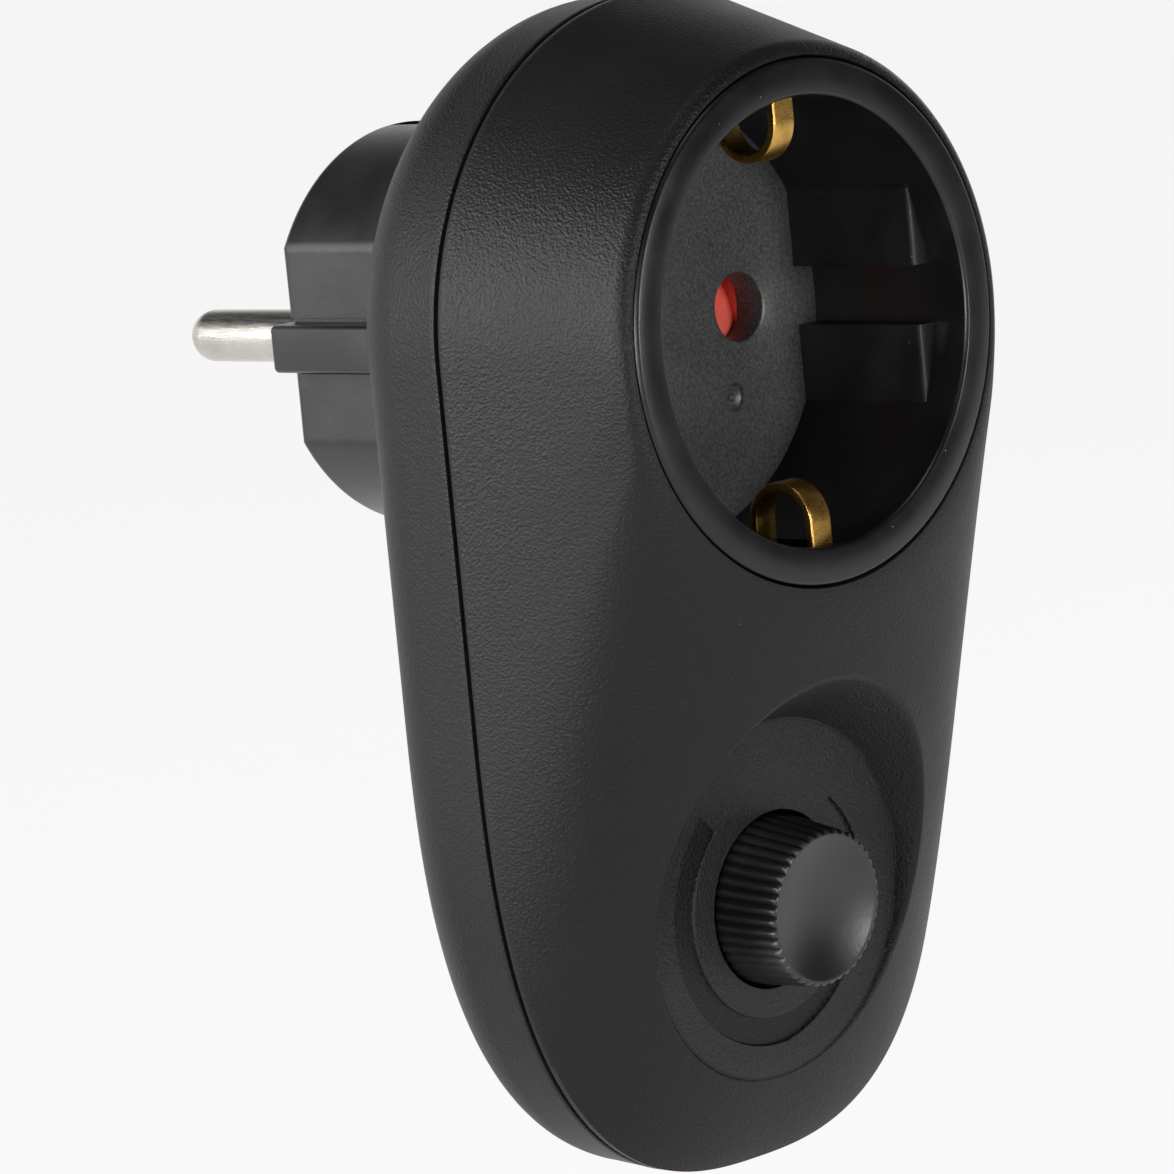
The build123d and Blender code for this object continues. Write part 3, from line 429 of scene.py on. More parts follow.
def smoothTable(values, q):
    # A curve through the values at whole numbers, with the slope at each taken from its neighbours.
    slopes = np.gradient(values)
    i = np.clip(q.astype(int), 0, len(values) - 2)
    f = q - i
    return ((2 * f**3 - 3 * f**2 + 1) * values[i] + (f**3 - 2 * f**2 + f) * slopes[i]
            + (3 * f**2 - 2 * f**3) * values[i + 1] + (f**3 - f**2) * slopes[i + 1])


def outlineAt(q, inset=0):
    # The joint's outline: a quarter circle, a straight side, then a superellipse.
    radius = housing["bodyRadius"] - inset
    share = 2 / housing["chinPower"]
    turn = np.radians(90 - quarterStep * np.clip(q, 0, sideQ))
    side = np.clip((q - sideQ) / (chinQ - sideQ), 0, 1) * housing["sideLength"]
    chin = np.radians(np.clip(q - chinQ, 0, endQ - chinQ) * chinStep)
    low = (housing["chinHeight"] - inset) * np.sin(chin) ** share
    x = np.where(q < sideQ, radius * np.cos(turn), radius * np.clip(np.cos(chin), 0, 1) ** share)
    z = np.where(q < sideQ, radius * np.sin(turn), -side - low)
    return x, z


def outlineRow(q, inset, y):
    x, z = outlineAt(q, inset)
    return np.stack([x, y + 0 * x, z], -1)


def bodyAt(q, t, rim=0):
    # The front shell's skin: at depth share t a blend of collar and outline; the chin swells ahead of it.
    angle = np.radians(smoothTable(collarAngles, q))
    collar = housing["collarRadius"] - rim
    x, z = outlineAt(q)
    swell = housing["chinBulge"] * np.sin(np.clip((q - chinQ) / (endQ - chinQ), 0, 1) * np.pi / 2) ** 2
    share = t + swell * t**2 * (1 - t)
    x = (1 - share) * collar * np.cos(angle) + share * x
    z = (1 - share) * collar * np.sin(angle) + share * z
    y = housing["collarFront"] + t * (housing["joint"] - housing["lip"] - housing["collarFront"])
    return np.stack([x, y + 0 * x, z], -1)


def outlineSteps(count):
    # Values of q at even steps along the outline.
    fine = {"side": 4000, "chin": 8000, "crowding": 1.6}
    chin = chinQ + (endQ - chinQ) * np.linspace(0, 1, fine["chin"]) ** fine["crowding"]
    q = np.concatenate([np.linspace(0, chinQ, fine["side"]), chin])
    x, z = outlineAt(q)
    length = np.concatenate([[0], np.cumsum(np.hypot(np.diff(x), np.diff(z)))])
    return np.interp(np.linspace(0, length[-1], count), length, q)


def bothSides(half):
    # Right half's columns, then the left half's as their mirror image, in one closed ring.
    left = half[:, -2:0:-1].copy()
    left[..., 0] *= -1
    return np.concatenate([half, left], 1)


seatTilt = np.radians(seat["tilt"])
seatOut = np.array([0, -np.cos(seatTilt), -np.sin(seatTilt)])
seatUp = np.array([0, -np.sin(seatTilt), np.cos(seatTilt)])
seatCentre = np.array(seat["centre"])


def toSeat(points):
    # Places in the seat's own axes: across, up, and out of its plane.
    d = points - seatCentre
    return d[..., 0], d @ seatUp, d @ seatOut


def fromSeat(u, v, w):
    return seatCentre + u[..., None] * np.array([1, 0, 0]) + v[..., None] * seatUp + w[..., None] * seatOut


def skinHeight(u, v):
    # Height of the unsunk skin above the seat's plane, found by Newton steps on (q, t) from a coarse table.
    # The skin is the same left and right, so u is taken positive.
    solve = {"q": (8.05, 17), "t": (0.05, 0.98), "grid": 60, "rounds": 12, "step": 1e-4, "least": 1e-9,
             "lowestQ": 8.001}
    u = np.abs(u)
    table = np.meshgrid(np.linspace(*solve["q"], solve["grid"]), np.linspace(*solve["t"], solve["grid"]))
    tableQ, tableT = table[0].ravel(), table[1].ravel()
    tableU, tableV, _ = toSeat(bodyAt(tableQ, tableT))
    near = np.concatenate([np.argmin((tableU - a[:, None]) ** 2 + (tableV - b[:, None]) ** 2, axis=1)
                           for a, b in zip(u, v)])  # one ring of points at a time
    q, t = tableQ[near], tableT[near]
    step = solve["step"]
    for _ in range(solve["rounds"]):
        pu, pv, _ = toSeat(bodyAt(q, t))
        qu, qv, _ = toSeat(bodyAt(q - step, t))
        tu, tv, _ = toSeat(bodyAt(q, t + step))
        a, b, c, d = (pu - qu) / step, (tu - pu) / step, (pv - qv) / step, (tv - pv) / step
        eu, ev = u.ravel() - pu, v.ravel() - pv
        det = a * d - b * c
        det = np.where(np.abs(det) < solve["least"], solve["least"], det)
        q = np.clip(q + (d * eu - b * ev) / det, solve["lowestQ"], endQ)
        t = np.clip(t + (a * ev - c * eu) / det, 0, 1)
    return toSeat(bodyAt(q, t))[2].reshape(u.shape)


def smoothStep(x):
    x = np.clip(x, 0, 1)
    return x * x * (3 - 2 * x)


def smoothMin(a, b, width):
    # The lower of two heights, with the edge between them rounded over the width.
    h = np.clip(0.5 + 0.5 * (b - a) / width, 0, 1)
    return b * (1 - h) + a * h - width * h * (1 - h)


def markDepthAt(r, angle):
    # The level mark: full width from its thick end, then its outer edge comes in towards the thin end.
    turn = (angle - seat["markStart"]) % 360
    full, whole = seat["markFull"] - seat["markStart"], seat["markStop"] - seat["markStart"]
    thin = seat["markInner"] + seat["markThin"]
    taper = np.clip((turn - full) / (whole - full), 0, 1)
    outer = seat["markOuter"] + (thin - seat["markOuter"]) * taper ** seat["markTaper"]
    edge = seat["markEdge"]
    inside = smoothStep((r - seat["markInner"]) / edge + 0.5) * smoothStep((outer - r) / edge + 0.5)
    along = smoothStep(turn * np.radians(r) / edge) * smoothStep((whole - turn) * np.radians(r) / edge)
    return -seat["markDepth"] * inside * along


def patchEdge(angle):
    return seat["patchRadius"] + seat["patchSwell"] * np.sin(angle)


def seatPatch():
    # Rings round the knob hole: seat, mark, flared wall and rounded rim, out to the housing's skin.
    look = {"columns": 420, "beforeMark": (10.5, 7), "mark": (10.56, 13.3, 40), "afterMark": (13.7, 0.3, 7),
            "wallFoot": 0.15, "footShares": (0, 0.06, 5), "outerShares": (0.08, 1, 46),
            "lip": ((0.06, -housing["wall"]), (0.02, -0.08))}  # how far inside the hole's edge, and the height
    angle = np.linspace(0, 2 * np.pi, look["columns"], endpoint=False)
    shares = np.concatenate([np.linspace(*look["footShares"]), np.linspace(*look["outerShares"])])
    start, gap, count = look["afterMark"]
    fixed = np.concatenate([np.linspace(seat["hole"], *look["beforeMark"]), np.linspace(*look["mark"]),
                            np.linspace(start, seat["radius"] - gap, count)])
    foot = look["wallFoot"]
    outer = (seat["radius"] - foot) + shares[:, None] * (patchEdge(angle) - seat["radius"] + foot)
    r = np.concatenate([fixed[:, None] + 0 * angle, outer])
    u, v = r * np.cos(angle), r * np.sin(angle)
    wall = np.maximum(0, (r - seat["radius"]) / np.tan(np.radians(seat["flare"])))
    w = smoothMin(skinHeight(u, v), wall, seat["rimRound"])
    w += markDepthAt(r, np.degrees(angle)[None, :])
    lip = [(seat["hole"] - inset, height) for inset, height in look["lip"]]
    down = [fromSeat(a * np.cos(angle), a * np.sin(angle), b + 0 * angle) for a, b in lip]
    return np.concatenate([np.array(down), fromSeat(u, v, w)]), gridFaces(len(r) + len(down), look["columns"])


def frontShell():
    look = {"columns": 190, "rows": 74, "boreDepth": -47.9, "boreEdge": 0.12, "rimRows": 9, "rimStart": 4,
            "open": 0.35, "seam": 0.06, "seamSteps": (0.3, 0.1), "flange": 1.2, "flatWithin": 0.5, "seatEdge": 0.2}
    q = outlineSteps(look["columns"])
    depth = housing["joint"] - housing["lip"] - housing["collarFront"]
    rounding, bore = housing["collarRound"], housing["collarBore"]
    around = np.radians(smoothTable(collarAngles, q))
    rows = []
    for y in (look["boreDepth"], housing["collarFront"] + look["boreEdge"]):  # bore inside the collar
        rows.append(np.stack([bore * np.cos(around), y + 0 * q, bore * np.sin(around)], -1))
    for a in np.radians(np.linspace(look["rimStart"], 90, look["rimRows"])):  # rounded rim
        rows.append(bodyAt(q, rounding * (1 - np.cos(a)) / depth, rim=rounding * (1 - np.sin(a))))
    for t in np.linspace(rounding / depth, 1, look["rows"])[1:]:
        rows.append(bodyAt(q, t))
    joint, seam, wall = housing["joint"], look["seam"], housing["wall"]
    before, nearer = look["seamSteps"]
    for inset, y in ((0, joint - before), (seam, joint - nearer), (4 * seam, joint), (wall, joint),
                     (wall, joint - look["flange"])):
        rows.append(outlineRow(q, inset, y))
    ring = bothSides(np.array(rows))
    faces = gridFaces(len(rows), ring.shape[1])
    u, v, w = toSeat(ring.reshape(-1, 3))
    inside = (np.hypot(u, v) < patchEdge(np.arctan2(v, u)) + look["open"]) & (w > seat["patchLowest"])
    faces = faces[~inside[faces].any(1)]
    patch, patchFaces = seatPatch()
    points, faces = joinSurfaces([(ring, faces), (patch, patchFaces[:, ::-1])])
    used = np.unique(faces)  # points that no face uses any more are left out
    renumbered = np.zeros(len(points), int)
    renumbered[used] = np.arange(len(used))
    piece = pieceFrom("front_shell_skin", points[used], renumbered[faces], "housingAbs", "housing",
                      ["front_shell"])
    stitch(piece)
    # Shares that tell the finish where the seat and its mark are, for the seat's painted sheen and the mark's painted
    # shade
    places = np.empty(3 * len(piece.data.vertices), np.float32)
    piece.data.vertices.foreach_get("co", places)
    u, v, w = toSeat(places.reshape(-1, 3) / mm)
    r, flat = np.hypot(u, v), np.abs(w) < look["flatWithin"]
    mark = flat * -markDepthAt(r, np.degrees(np.arctan2(v, u))) / seat["markDepth"]
    for name, share in (("seatShare", flat * (r < seat["radius"] - look["seatEdge"])), ("markShare", mark)):
        layer = piece.data.attributes.new(name, "FLOAT", "POINT")
        layer.data.foreach_set("value", share.astype(np.float32))
    print("front shell:", len(piece.data.polygons), "faces")


def stitch(piece):
    # Joins the skin to the patch round the seat, between the two open rings that face each other.
    look = {"within": 3, "sharp": 50}
    build = bmesh.new()
    build.from_mesh(piece.data)
    openEdges = []
    for edge in build.edges:
        if len(edge.link_faces) == 1:
            middle = np.array((edge.verts[0].co + edge.verts[1].co) / 2) / mm
            u, v, w = toSeat(middle)
            gap = abs(np.hypot(u, v) - patchEdge(np.arctan2(v, u)))
            if gap < look["within"] and w > seat["patchLowest"]:
                openEdges.append(edge)
    bmesh.ops.bridge_loops(build, edges=openEdges)
    bmesh.ops.recalc_face_normals(build, faces=build.faces)
    build.to_mesh(piece.data)
    build.free()
    smoothShading(piece.data, look["sharp"])


def rearShell():
    look = {"columns": 170, "backRound": 9.0, "draft": 0.3, "centre": -22.0, "sideStart": 0.65, "sideRows": 9,
            "roundRows": 22, "backRows": 10, "sharp": 50,
            "edgeSteps": ((0.22, 0), (0.06, 0.06), (0, 0.25)),  # how far in, and how far behind the edge
            "innerSteps": ((0, -27.0), (2.5, -22.0), (6.8, -20.2)),  # how far in from the wall, and y
            "well": 3.1, "wellDepth": 5.0, "wellX": 20.9, "wellZ": -28.5, "wellWall": 1.1, "wellFloor": 0.8,
            "cupRim": -20.1, "cutSharp": 40}
    q = outlineSteps(look["columns"])
    wall, edge, back = housing["wall"], housing["rearEdge"], housing["back"]
    top = back - look["backRound"]
    insets = [(wall, edge)] + [(inset, edge + y) for inset, y in look["edgeSteps"]]
    for y in np.linspace(edge + look["sideStart"], top, look["sideRows"])[:-1]:
        insets.append((look["draft"] * (y - edge) / (top - edge), y))
    for a in np.radians(np.linspace(0, 90, look["roundRows"])):
        insets.append((look["draft"] + look["backRound"] * (1 - np.cos(a)), top + look["backRound"] * np.sin(a)))
    rows = [outlineRow(q, inset, y) for inset, y in insets]
    centre = np.array([0, back, look["centre"]])
    last = rows[-1]
    for share in np.linspace(0, 1, look["backRows"])[1:]:
        rows.append(last + (centre - last) * share)
    inner = [outlineRow(q, wall, edge)]
    inner += [outlineRow(q, wall + inset, y) for inset, y in look["innerSteps"]]
    innerBack = look["innerSteps"][-1][1]
    inner.append(0 * last + centre + np.array([0, innerBack - back, 0]))
    ring = bothSides(np.array(inner[::-1] + rows))
    piece = pieceFrom("rear_shell_skin", ring, gridFaces(len(ring), ring.shape[1]), "housingAbs", "housing",
                      ["rear_shell"], look["sharp"])
    well, head = look["well"], back - look["wellDepth"]
    sides = (("screw_well_left", -look["wellX"]), ("screw_well_right", look["wellX"]))
    cutAway(piece, [rod(well, head, back + 1, x, look["wellZ"]) for _, x in sides], look["cutSharp"])
    outside, under = well + look["wellWall"], head - look["wellFloor"]
    cup = [(well, look["cupRim"]), (well, head), (onAxis, head), (onAxis, under), (outside, under),
           (outside, look["cupRim"]), (well, look["cupRim"])]
    for name, x in sides:  # the wells' own walls, down to the seats of the screw heads
        points, faces = lathe(cup, 64)
        pieceFrom(name, points + np.array([x, 0, look["wellZ"]]), faces, "housingAbs", "housing",
                  sharp=look["cutSharp"])


def plugBody():
    look = {"radius": 18.3, "flat": 16.0, "round": 0.8, "roundRows": 8, "root": 18.75, "rootEnd": -16.8,
            "rootRound": 0.1, "groove": 2.5, "grooveDepth": 0.35, "grooveSpread": 0.3, "step": 0.03,
            "channel": 1.6, "channelFloor": 16.75, "channelEnd": -0.9, "channelLead": 0.4, "channelAbove": 10,
            "topAngles": [87, 88.5, 90], "between": (-10.0, -4.0), "inner": -20.6, "sharp": 35}
    corner = np.sqrt(look["radius"] ** 2 - look["flat"] ** 2)
    step = look["step"]
    side = np.concatenate([np.linspace(0, look["groove"] - step, 5), [look["groove"] + step],
                           np.linspace(look["groove"] + look["grooveSpread"], corner, 12)])
    upper = np.degrees(np.arctan2(side, look["flat"]))
    leads = (look["channelLead"], step, -step)
    channelTurn = [np.degrees(np.arccos((look["channel"] + s) / look["radius"])) for s in leads]
    toChannel = np.linspace(upper[-1], channelTurn[0], 30)[1:]
    quarter = np.concatenate([upper, toChannel, channelTurn[1:], look["topAngles"]])
    turns = [quarter, 180 - quarter[-2::-1], 180 + quarter[1:], 360 - quarter[-2:0:-1]]
    angle = np.radians(np.concatenate(turns))
    cosine, sine = np.cos(angle), np.sin(angle)
    onFlats = np.abs(cosine) > 0.8

    def row(y, inset=0, channel=True):
        # A circle cut by two flats, with a groove round each rib and an earth channel above and below.
        rho = np.minimum(look["radius"], look["flat"] / np.maximum(np.abs(cosine), 1e-6)) - inset
        groove = (np.abs(rho * sine) < look["groove"]) & onFlats
        x, z = (rho - look["grooveDepth"] * groove) * cosine, rho * sine
        if channel:
            inChannel = (np.abs(x) < look["channel"]) & (np.abs(z) > look["channelAbove"])
            z = np.where(inChannel, np.sign(z) * look["channelFloor"], z)
        return np.stack([x, y + 0 * x, z], -1)

    def circle(radius, y):
        return np.stack([radius * cosine, y + 0 * cosine, radius * sine], -1)

    root, rootEnd, rootRound, end = look["root"], look["rootEnd"], look["rootRound"], look["channelEnd"]
    rows = [circle(onAxis, look["inner"]), circle(root, look["inner"]), circle(root, rootEnd - rootRound),
            circle(root - rootRound, rootEnd), row(rootEnd)]
    rows += [row(y) for y in look["between"]] + [row(end), row(end + 0.001, channel=False)]
    for a in np.radians(np.linspace(0, 90, look["roundRows"])):
        rows.append(row(-look["round"] * (1 - np.sin(a)), look["round"] * (1 - np.cos(a)), False))
    rows.append(circle(onAxis, 0))
    points = np.array(rows)
    pieceFrom("plug_body_skin", points, gridFaces(len(rows), points.shape[1]), "insertNylon", "housing",
              ["plug_body"], look["sharp"])


def roundedBar(x0, x1, y0, y1, z0, z1, radius, steps=5):
    # A bar along y with rounded long corners and a rounded end: its section shrinks along a quarter circle.
    most = {"inset": 0.98, "closing": 0.999}  # shares, short of 1 so that no face loses its area

    def loop(inset):
        points = []
        for cx, cz, start in ((x1, z1, 0), (x0, z1, 90), (x0, z0, 180), (x1, z0, 270)):
            ox = cx - np.sign(cx - (x0 + x1) / 2) * radius
            oz = cz - np.sign(cz - (z0 + z1) / 2) * radius
            points += arcPoints((ox, oz), radius - inset, start, start + 90, steps)
        return np.array(points)

    rows = [np.insert(loop(0), 1, y0, 1)]
    for a in np.radians(np.linspace(0, 90, steps)):
        section = loop(radius * (1 - np.cos(a)) * most["inset"])
        rows.append(np.insert(section, 1, y1 - radius * (1 - np.sin(a)), 1))
    middle = np.array([(x0 + x1) / 2, y1, (z0 + z1) / 2])
    rows.append(rows[-1] + (middle - rows[-1]) * most["closing"])
    points = np.array(rows)
    return points, gridFaces(len(rows), points.shape[1])


def plugRibs():
    look = {"reach": 18.5, "half": 2.15, "root": 13.0, "round": 0.5, "start": housing["back"] - 2, "end": -0.02}
    parts = []
    for side in (-1, 1):
        x0, x1 = sorted((side * look["root"], side * look["reach"]))
        parts.append(roundedBar(x0, x1, look["start"], look["end"], -look["half"], look["half"], look["round"]))
    points, faces = joinSurfaces(parts)
    pieceFrom("plug_ribs", points, faces, "insertNylon", "housing", sharp=40)


def plugPin(name, x, node):
    look = {"radius": 2.4, "length": 19.0, "neck": 2.2, "neckLength": 0.3, "edge": 0.08, "sink": -3.0,
            "straightStart": 0.8, "columns": 72, "tipTurn": 89.9}
    radius, neck, neckLength, edge = look["radius"], look["neck"], look["neckLength"], look["edge"]
    profile = [(onAxis, look["sink"]), (neck, look["sink"]), (neck, neckLength), (radius - edge, neckLength),
               (radius, neckLength + edge)]
    nose = look["length"] - radius
    profile += [(radius, y) for y in np.linspace(look["straightStart"], nose, 8)]
    profile += arcPoints((0, nose), radius, 0, look["tipTurn"], 16)[1:]
    points, faces = lathe(profile, look["columns"])
    pieceFrom(name, points + np.array([x, 0, 0]), faces, "brightNickel", "housing", [node], 35)


def knobCap():
    look = {"ridges": 42, "perRidge": 12, "depth": 0.42, "valleys": 0.9, "base": 7.62, "top": 6.98, "foot": -2.2,
            "height": 6.1, "dish": 1.3, "dishInset": 0.1, "edge": 0.4, "edgeOut": 0.02, "fade": 0.8, "rows": 26}
    edge, rows = look["edge"], look["rows"]
    angle = np.linspace(0, 2 * np.pi, look["ridges"] * look["perRidge"], endpoint=False)
    profile = []  # radius, height, how much of the ridges
    for h in np.linspace(look["foot"], look["height"] - edge, rows):
        share = np.clip(h / look["height"], 0, 1)
        profile.append((look["base"] + (look["top"] - look["base"]) * share, h, 1.0))
    corner = look["top"] + look["edgeOut"] - edge
    for a in np.radians(np.linspace(0, 90, 8))[1:]:
        ridge = np.cos(a) ** look["fade"]
        profile.append((corner + edge * np.cos(a), look["height"] - edge * (1 - np.sin(a)), ridge))
    rim = corner - look["dishInset"]
    ball = (rim**2 + look["dish"] ** 2) / (2 * look["dish"])
    for r in np.linspace(rim, 0, rows):
        drop = np.sqrt(ball**2 - r**2) - (ball - look["dish"])
        profile.append((max(r, 0.001), look["height"] - drop, 0.0))
    radius, height, share = np.array(profile).T
    wave = np.abs(np.cos(look["ridges"] * angle / 2)) ** look["valleys"]  # round crests, narrow valleys
    r = radius[:, None] - look["depth"] * share[:, None] * (1 - wave[None, :])
    points = fromSeat(r * np.cos(angle), r * np.sin(angle), height[:, None] + 0 * r)
    pieceFrom("knob_cap", points, gridFaces(len(radius), len(angle)), "knobAbs", "knob", ["knob"], 60)


def socketInsert():
    look = {"ring": 22.75, "front": -49.6, "ringBack": -47.8, "recess": 19.5, "pot": 21.2, "floor": -31.55,
            "back": -28.55, "land": 17.0, "landFront": -46.0, "groove": 2.65, "hole": 3.05, "holeX": 9.5,
            # rounded edges as (depth behind the edge, distance from the straight side)
            "ringSteps": ((0.35, 0), (0.1, -0.16), (0, -0.35)),
            "mouthSteps": ((0, 0.34), (0.04, 0.24), (0.24, 0.05), (0.38, 0)),
            "landSteps": ((0, 0.5), (0.1, 0.18), (0.5, 0)),
            "holeSteps": ((0, 0.3), (0.12, 0.08), (0.3, 0)),
            # ejector dimples beside the holes, as (radius, depth)
            "dimple": ((1.35, 0), (1.22, 0.1), (1.05, 0.34), (0.7, 0.5), (0.42, 0.54), (0.3, 0.4), (onAxis, 0.34)),
            "dimpleAt": 7.9, "slotHalf": 1.7, "slotDepths": (-48.1, -40.0), "slotReach": (18.5, 22.0), "sharp": 30}
    radius, land = look["recess"], look["land"]
    reach = np.sqrt(radius**2 - land**2)
    groove = np.linspace(0, look["groove"], 4)
    side = np.linspace(look["groove"], reach, 14)
    arc = np.linspace(np.arcsin(reach / radius), np.pi / 2, 44)[1:]
    z = np.concatenate([groove, side, radius * np.sin(arc)])
    x = np.sqrt(np.maximum(radius**2 - z**2, 0))
    onLand = np.concatenate([0 * groove, 0 * side + 1, 0 * arc]).astype(bool)
    turns = ((1, 1, slice(None)), (-1, 1, slice(-2, None, -1)), (-1, -1, slice(1, None)), (1, -1, slice(-2, 0, -1)))
    mouth = np.concatenate([np.stack([sx * x[pick], sz * z[pick]], -1) for sx, sz, pick in turns])
    onLand = np.concatenate([onLand[pick] for _, _, pick in turns])

    def row(y, r=radius, inner=None):
        flat = mouth * (r / radius)
        if inner is not None:
            flat[onLand, 0] = np.sign(flat[onLand, 0]) * inner
        return np.stack([flat[:, 0], y + 0 * flat[:, 0], flat[:, 1]], -1)

    front, floor = look["front"], look["floor"]
    rows = [row(look["back"], look["pot"]), row(look["ringBack"], look["pot"]), row(look["ringBack"], look["ring"])]
    rows += [row(front + depth, look["ring"] + out) for depth, out in look["ringSteps"]]
    rows += [row(front + depth, radius + out) for depth, out in look["mouthSteps"]] + [row(look["landFront"])]
    rows += [row(look["landFront"] + depth, inner=land + out) for depth, out in look["landSteps"]]
    rows.append(row(floor, inner=land))
    parts = [(np.array(rows), gridFaces(len(rows), len(mouth)))]
    hole = [(look["hole"] + out, floor + depth) for depth, out in look["holeSteps"]] + [(look["hole"], look["back"])]
    for holeX in (-look["holeX"], look["holeX"]):
        points, faces = lathe(hole, 64)
        parts.append((points + np.array([holeX, 0, 0]), faces))
    for at in (-look["dimpleAt"], look["dimpleAt"]):
        points, faces = lathe([(r, floor + depth) for r, depth in look["dimple"]], 40)
        parts.append((points + np.array([at, 0, -at]), faces))
    points, faces = joinSurfaces(parts)
    piece = pieceFrom("socket_insert_skin", points, faces, "socketNylon", "housing",
                      ["socket_insert"])
    build = bmesh.new()
    build.from_mesh(piece.data)
    for y, normal in ((floor, (0, -1, 0)), (look["back"], (0, 1, 0))):  # flat faces round the holes
        rims = [e for e in build.edges if len(e.link_faces) == 1
                and all(abs(v.co.y / mm - y) < 0.01 for v in e.verts)]
        bmesh.ops.triangle_fill(build, use_beauty=True, edges=rims, normal=normal)
    bmesh.ops.recalc_face_normals(build, faces=build.faces)
    build.to_mesh(piece.data)
    build.free()
    half, slotReach = look["slotHalf"], np.array(look["slotReach"])
    slots = [box(-half, half, *look["slotDepths"], *sorted(way * slotReach)) for way in (-1, 1)]
    cutAway(piece, slots, look["sharp"])


def roundedPath(corners, steps=14):
    # Straight runs joined by arcs; a corner is (y, z, radius) and the result is points with their tangents.
    points = [np.array(corners[0][:2], float)]
    for before, here, after in zip(corners, corners[1:], corners[2:]):
        corner, radius = np.array(here[:2], float), here[2]
        a = np.array(before[:2]) - corner
        b = np.array(after[:2]) - corner
        a, b = a / np.linalg.norm(a), b / np.linalg.norm(b)
        half = np.arccos(np.clip(a @ b, -1, 1)) / 2
        centre = corner + (a + b) / np.linalg.norm(a + b) * radius / np.sin(half)
        start, stop = corner + a * radius / np.tan(half), corner + b * radius / np.tan(half)
        for s in np.linspace(0, 1, steps):
            turn = (start - centre) * (1 - s) + (stop - centre) * s
            points.append(centre + turn / np.linalg.norm(turn) * radius)
    points.append(np.array(corners[-1][:2], float))
    points = np.array(points)
    keep = np.concatenate([[True], np.linalg.norm(np.diff(points, axis=0), axis=1) > 1e-4])
    points = points[keep]
    ahead = np.gradient(points, axis=0)
    return points, ahead / np.linalg.norm(ahead, axis=1)[:, None]


def earthClip(name, side, node):
    # A rolled strip with rounded edges carried along the strap's path in the middle plane.
    look = {"width": 2.6, "thickness": 0.8, "edge": 0.16, "front": -47.3, "rear": -40.8, "tip": 14.3, "arch": 3.25,
            "bend": 1.2, "outside": 21.75, "step": -23.75, "inside": 17.2, "end": -1.2, "start": 21.6}
    corners = [(look["front"], look["start"], 0), (look["front"], look["tip"], look["arch"]),
               (look["rear"], look["tip"], look["arch"]), (look["rear"], look["outside"], look["bend"]),
               (look["step"], look["outside"], look["bend"]), (look["step"], look["inside"], look["bend"]),
               (look["end"], look["inside"], 0)]
    path, ahead = roundedPath(corners)
    w, t, e = look["width"] / 2, look["thickness"] / 2, look["edge"]
    loop = []
    for cx, ct, start in ((w - e, t - e, 0), (e - w, t - e, 90), (e - w, e - t, 180), (w - e, e - t, 270)):
        loop += arcPoints((cx, ct), e, start, start + 90, 5)
    loop = np.array(loop)
    normal = np.stack([-ahead[:, 1], ahead[:, 0]], -1)
    yz = path[:, None, :] + loop[None, :, 1, None] * normal[:, None, :]
    x = np.broadcast_to(loop[None, :, 0], yz.shape[:2])
    rows = np.stack([x, yz[..., 0], yz[..., 1]], -1)
    caps = [end.mean(1, keepdims=True) + 0 * end for end in (rows[:1], rows[-1:])]
    rows = np.concatenate([caps[0], rows, caps[1]]) * np.array([side, 1, side])
    pieceFrom(name, rows, gridFaces(len(rows), len(loop)), "rolledBrass", "housing", [node], 40)


def shutterCoil():
    # The spring under the shutter, in the shape of its node.
    coil = smoothCopy("shutter_coil", "shutter_spring", "zincSteel", "housing")
    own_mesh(coil)


frontShell()
rearShell()
plugBody()
plugRibs()
plugPin("pin_neutral", -9.5, "plug_pin_neutral")
plugPin("pin_live", 9.5, "plug_pin_live")
print("rear shell and plug ready")
knobCap()
socketInsert()
earthClip("earth_clip_upper", 1, "earth_strap_upper")
earthClip("earth_clip_lower", -1, "earth_strap_lower")
shutterCoil()
print("knob, insert, clips and spring ready")


# Floor, light and camera

def stageFloor():
    look = {"height": -0.155, "half": 14.0, "dim": (-0.6, -0.35), "colour": "#f4f4f4", "white": 0.9, "matt": 0.9}
    mesh = bpy.data.meshes.new("stage_floor")
    h, z = look["half"], look["height"]
    mesh.from_pydata([(-h, -h, z), (h, -h, z), (h, h, z), (-h, h, z)], [], [(0, 1, 2, 3)])
    floor = bpy.data.objects.new("stage_floor", mesh)
    bpy.context.scene.collection.objects.link(floor)
    material, shader = newMaterial("pale painted floor")  # nearly white to the camera, with a faint shadow
    shader.inputs["Base Color"].default_value = linear(look["colour"])
    shader.inputs["Roughness"].default_value = look["matt"]
    path = addNode(material, "ShaderNodeLightPath")
    place = addNode(material, "ShaderNodeTexCoord")
    axes = addNode(material, "ShaderNodeSeparateXYZ", links={"Vector": (place, "Object")})
    # The mirrored floor is white near the object, and dim like the room further in front.
    near = shareOf(material, (axes, "Y"), *look["dim"])
    mirrored = maths(material, "MULTIPLY", (path, "Is Glossy Ray"), (near, "Result"))
    seen = maths(material, "MAXIMUM", (path, "Is Camera Ray"), (mirrored, "Value"))
    seen = maths(material, "MAXIMUM", (seen, "Value"), (path, "Is Transmission Ray"))
    level = addNode(material, "ShaderNodeMapRange", {"To Max": look["white"]}, {"Value": (seen, "Value")})
    white = addNode(material, "ShaderNodeEmission", {"Color": (1, 1, 1, 1), "Strength": 1.0})
    parts = {0: (level, "Result"), 1: (shader, "BSDF"), 2: (white, "Emission")}
    mix = addNode(material, "ShaderNodeMixShader", links=parts)
    join(material, mix, "Shader", material.node_tree.nodes["Material Output"], "Surface")
    mesh.materials.append(material)


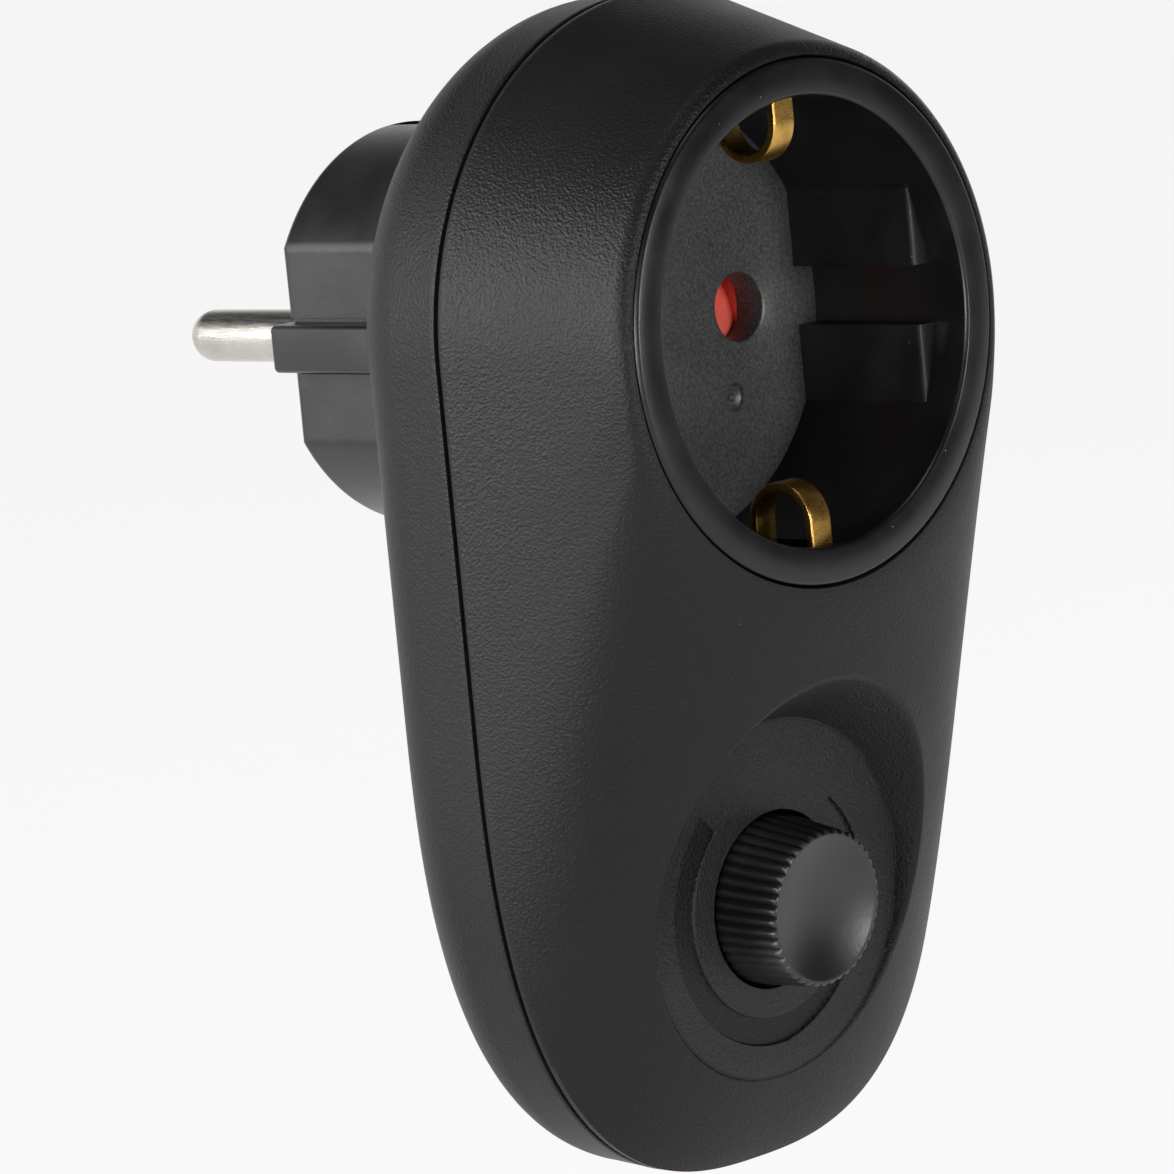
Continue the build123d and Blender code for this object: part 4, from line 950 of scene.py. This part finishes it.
def areaLight(name, place, aim, size, power):
    light = bpy.data.lights.new(name, "AREA")
    light.energy = power
    light.size = size
    lamp = bpy.data.objects.new(name, light)
    lamp.location = place
    lamp.rotation_euler = (Vector(aim) - Vector(place)).to_track_quat("-Z", "Y").to_euler()
    bpy.context.scene.collection.objects.link(lamp)


def studio():
    look = {"ambient": 0.06, "room": (-0.3, 0.1), "ceiling": (0.3, 0.6), "aim": (0, -0.035, -0.02)}
    lamps = {  # place, size and power
        "left softbox": ((-1.08, 0.42, 0.34), 0.8, 18),
        "left strip": ((-1.0, -0.5, 0.02), 0.35, 7),
        "front softbox": ((0.1, -1.25, 0.08), 0.28, 6.5),
        "top strip": ((-0.1, -0.25, 1.1), 0.4, 1.5),
        "right rim": ((0.95, 0.25, 0.15), 0.4, 0.7),
    }
    for name, (place, size, power) in lamps.items():
        areaLight(name, place, look["aim"], size, power)
    world = bpy.data.worlds.new("studio")
    bpy.context.scene.world = world
    world.use_nodes = True
    background = world.node_tree.nodes["Background"]
    path = addNode(world, "ShaderNodeLightPath")
    seen = maths(world, "MAXIMUM", (path, "Is Camera Ray"), (path, "Is Transmission Ray"))
    # Mirrored rays meet the white backdrop on the wall's side and low down, and the dim room elsewhere.
    way = addNode(world, "ShaderNodeTexCoord")
    axes = addNode(world, "ShaderNodeSeparateXYZ", links={"Vector": (way, "Generated")})
    side = shareOf(world, (axes, "Y"), *look["room"])
    under = shareOf(world, (axes, "Z"), *look["ceiling"][::-1])
    backdrop = maths(world, "MULTIPLY", (side, "Result"), (under, "Result"))
    mirrored = maths(world, "MULTIPLY", (path, "Is Glossy Ray"), (backdrop, "Value"))
    bright = maths(world, "MAXIMUM", (seen, "Value"), (mirrored, "Value"))
    levels = {"To Min": look["ambient"], "To Max": 1.0}
    level = addNode(world, "ShaderNodeMapRange", levels, {"Value": (bright, "Value")})
    join(world, level, "Result", background, "Strength")
    background.inputs["Color"].default_value = (1, 1, 1, 1)


def camera():
    look = {"place": (-404.356, -418.029, 57.014), "right": (0.6898, -0.7176, -0.0956),
            "up": (0.1679, 0.0302, 0.9853), "forward": (0.7042, 0.6958, -0.1413), "focalPixels": 6375.312,
            "imagePixels": 1174, "sensor": 36.0, "clipStart": 0.01}
    data = bpy.data.cameras.new("camera")
    data.sensor_width = look["sensor"]
    data.lens = look["focalPixels"] / look["imagePixels"] * look["sensor"]
    data.clip_start = look["clipStart"]
    cam = bpy.data.objects.new("camera", data)
    right, up, forward = (Vector(look[k]).normalized() for k in ("right", "up", "forward"))
    turn = Matrix((right, up, -forward)).transposed().to_4x4()
    cam.matrix_world = Matrix.Translation(Vector(look["place"]) * mm) @ turn
    bpy.context.scene.collection.objects.link(cam)
    bpy.context.scene.camera = cam


stageFloor()
studio()
camera()
bpy.context.scene.view_settings.view_transform = "Standard"
print("stage, lights and camera ready")
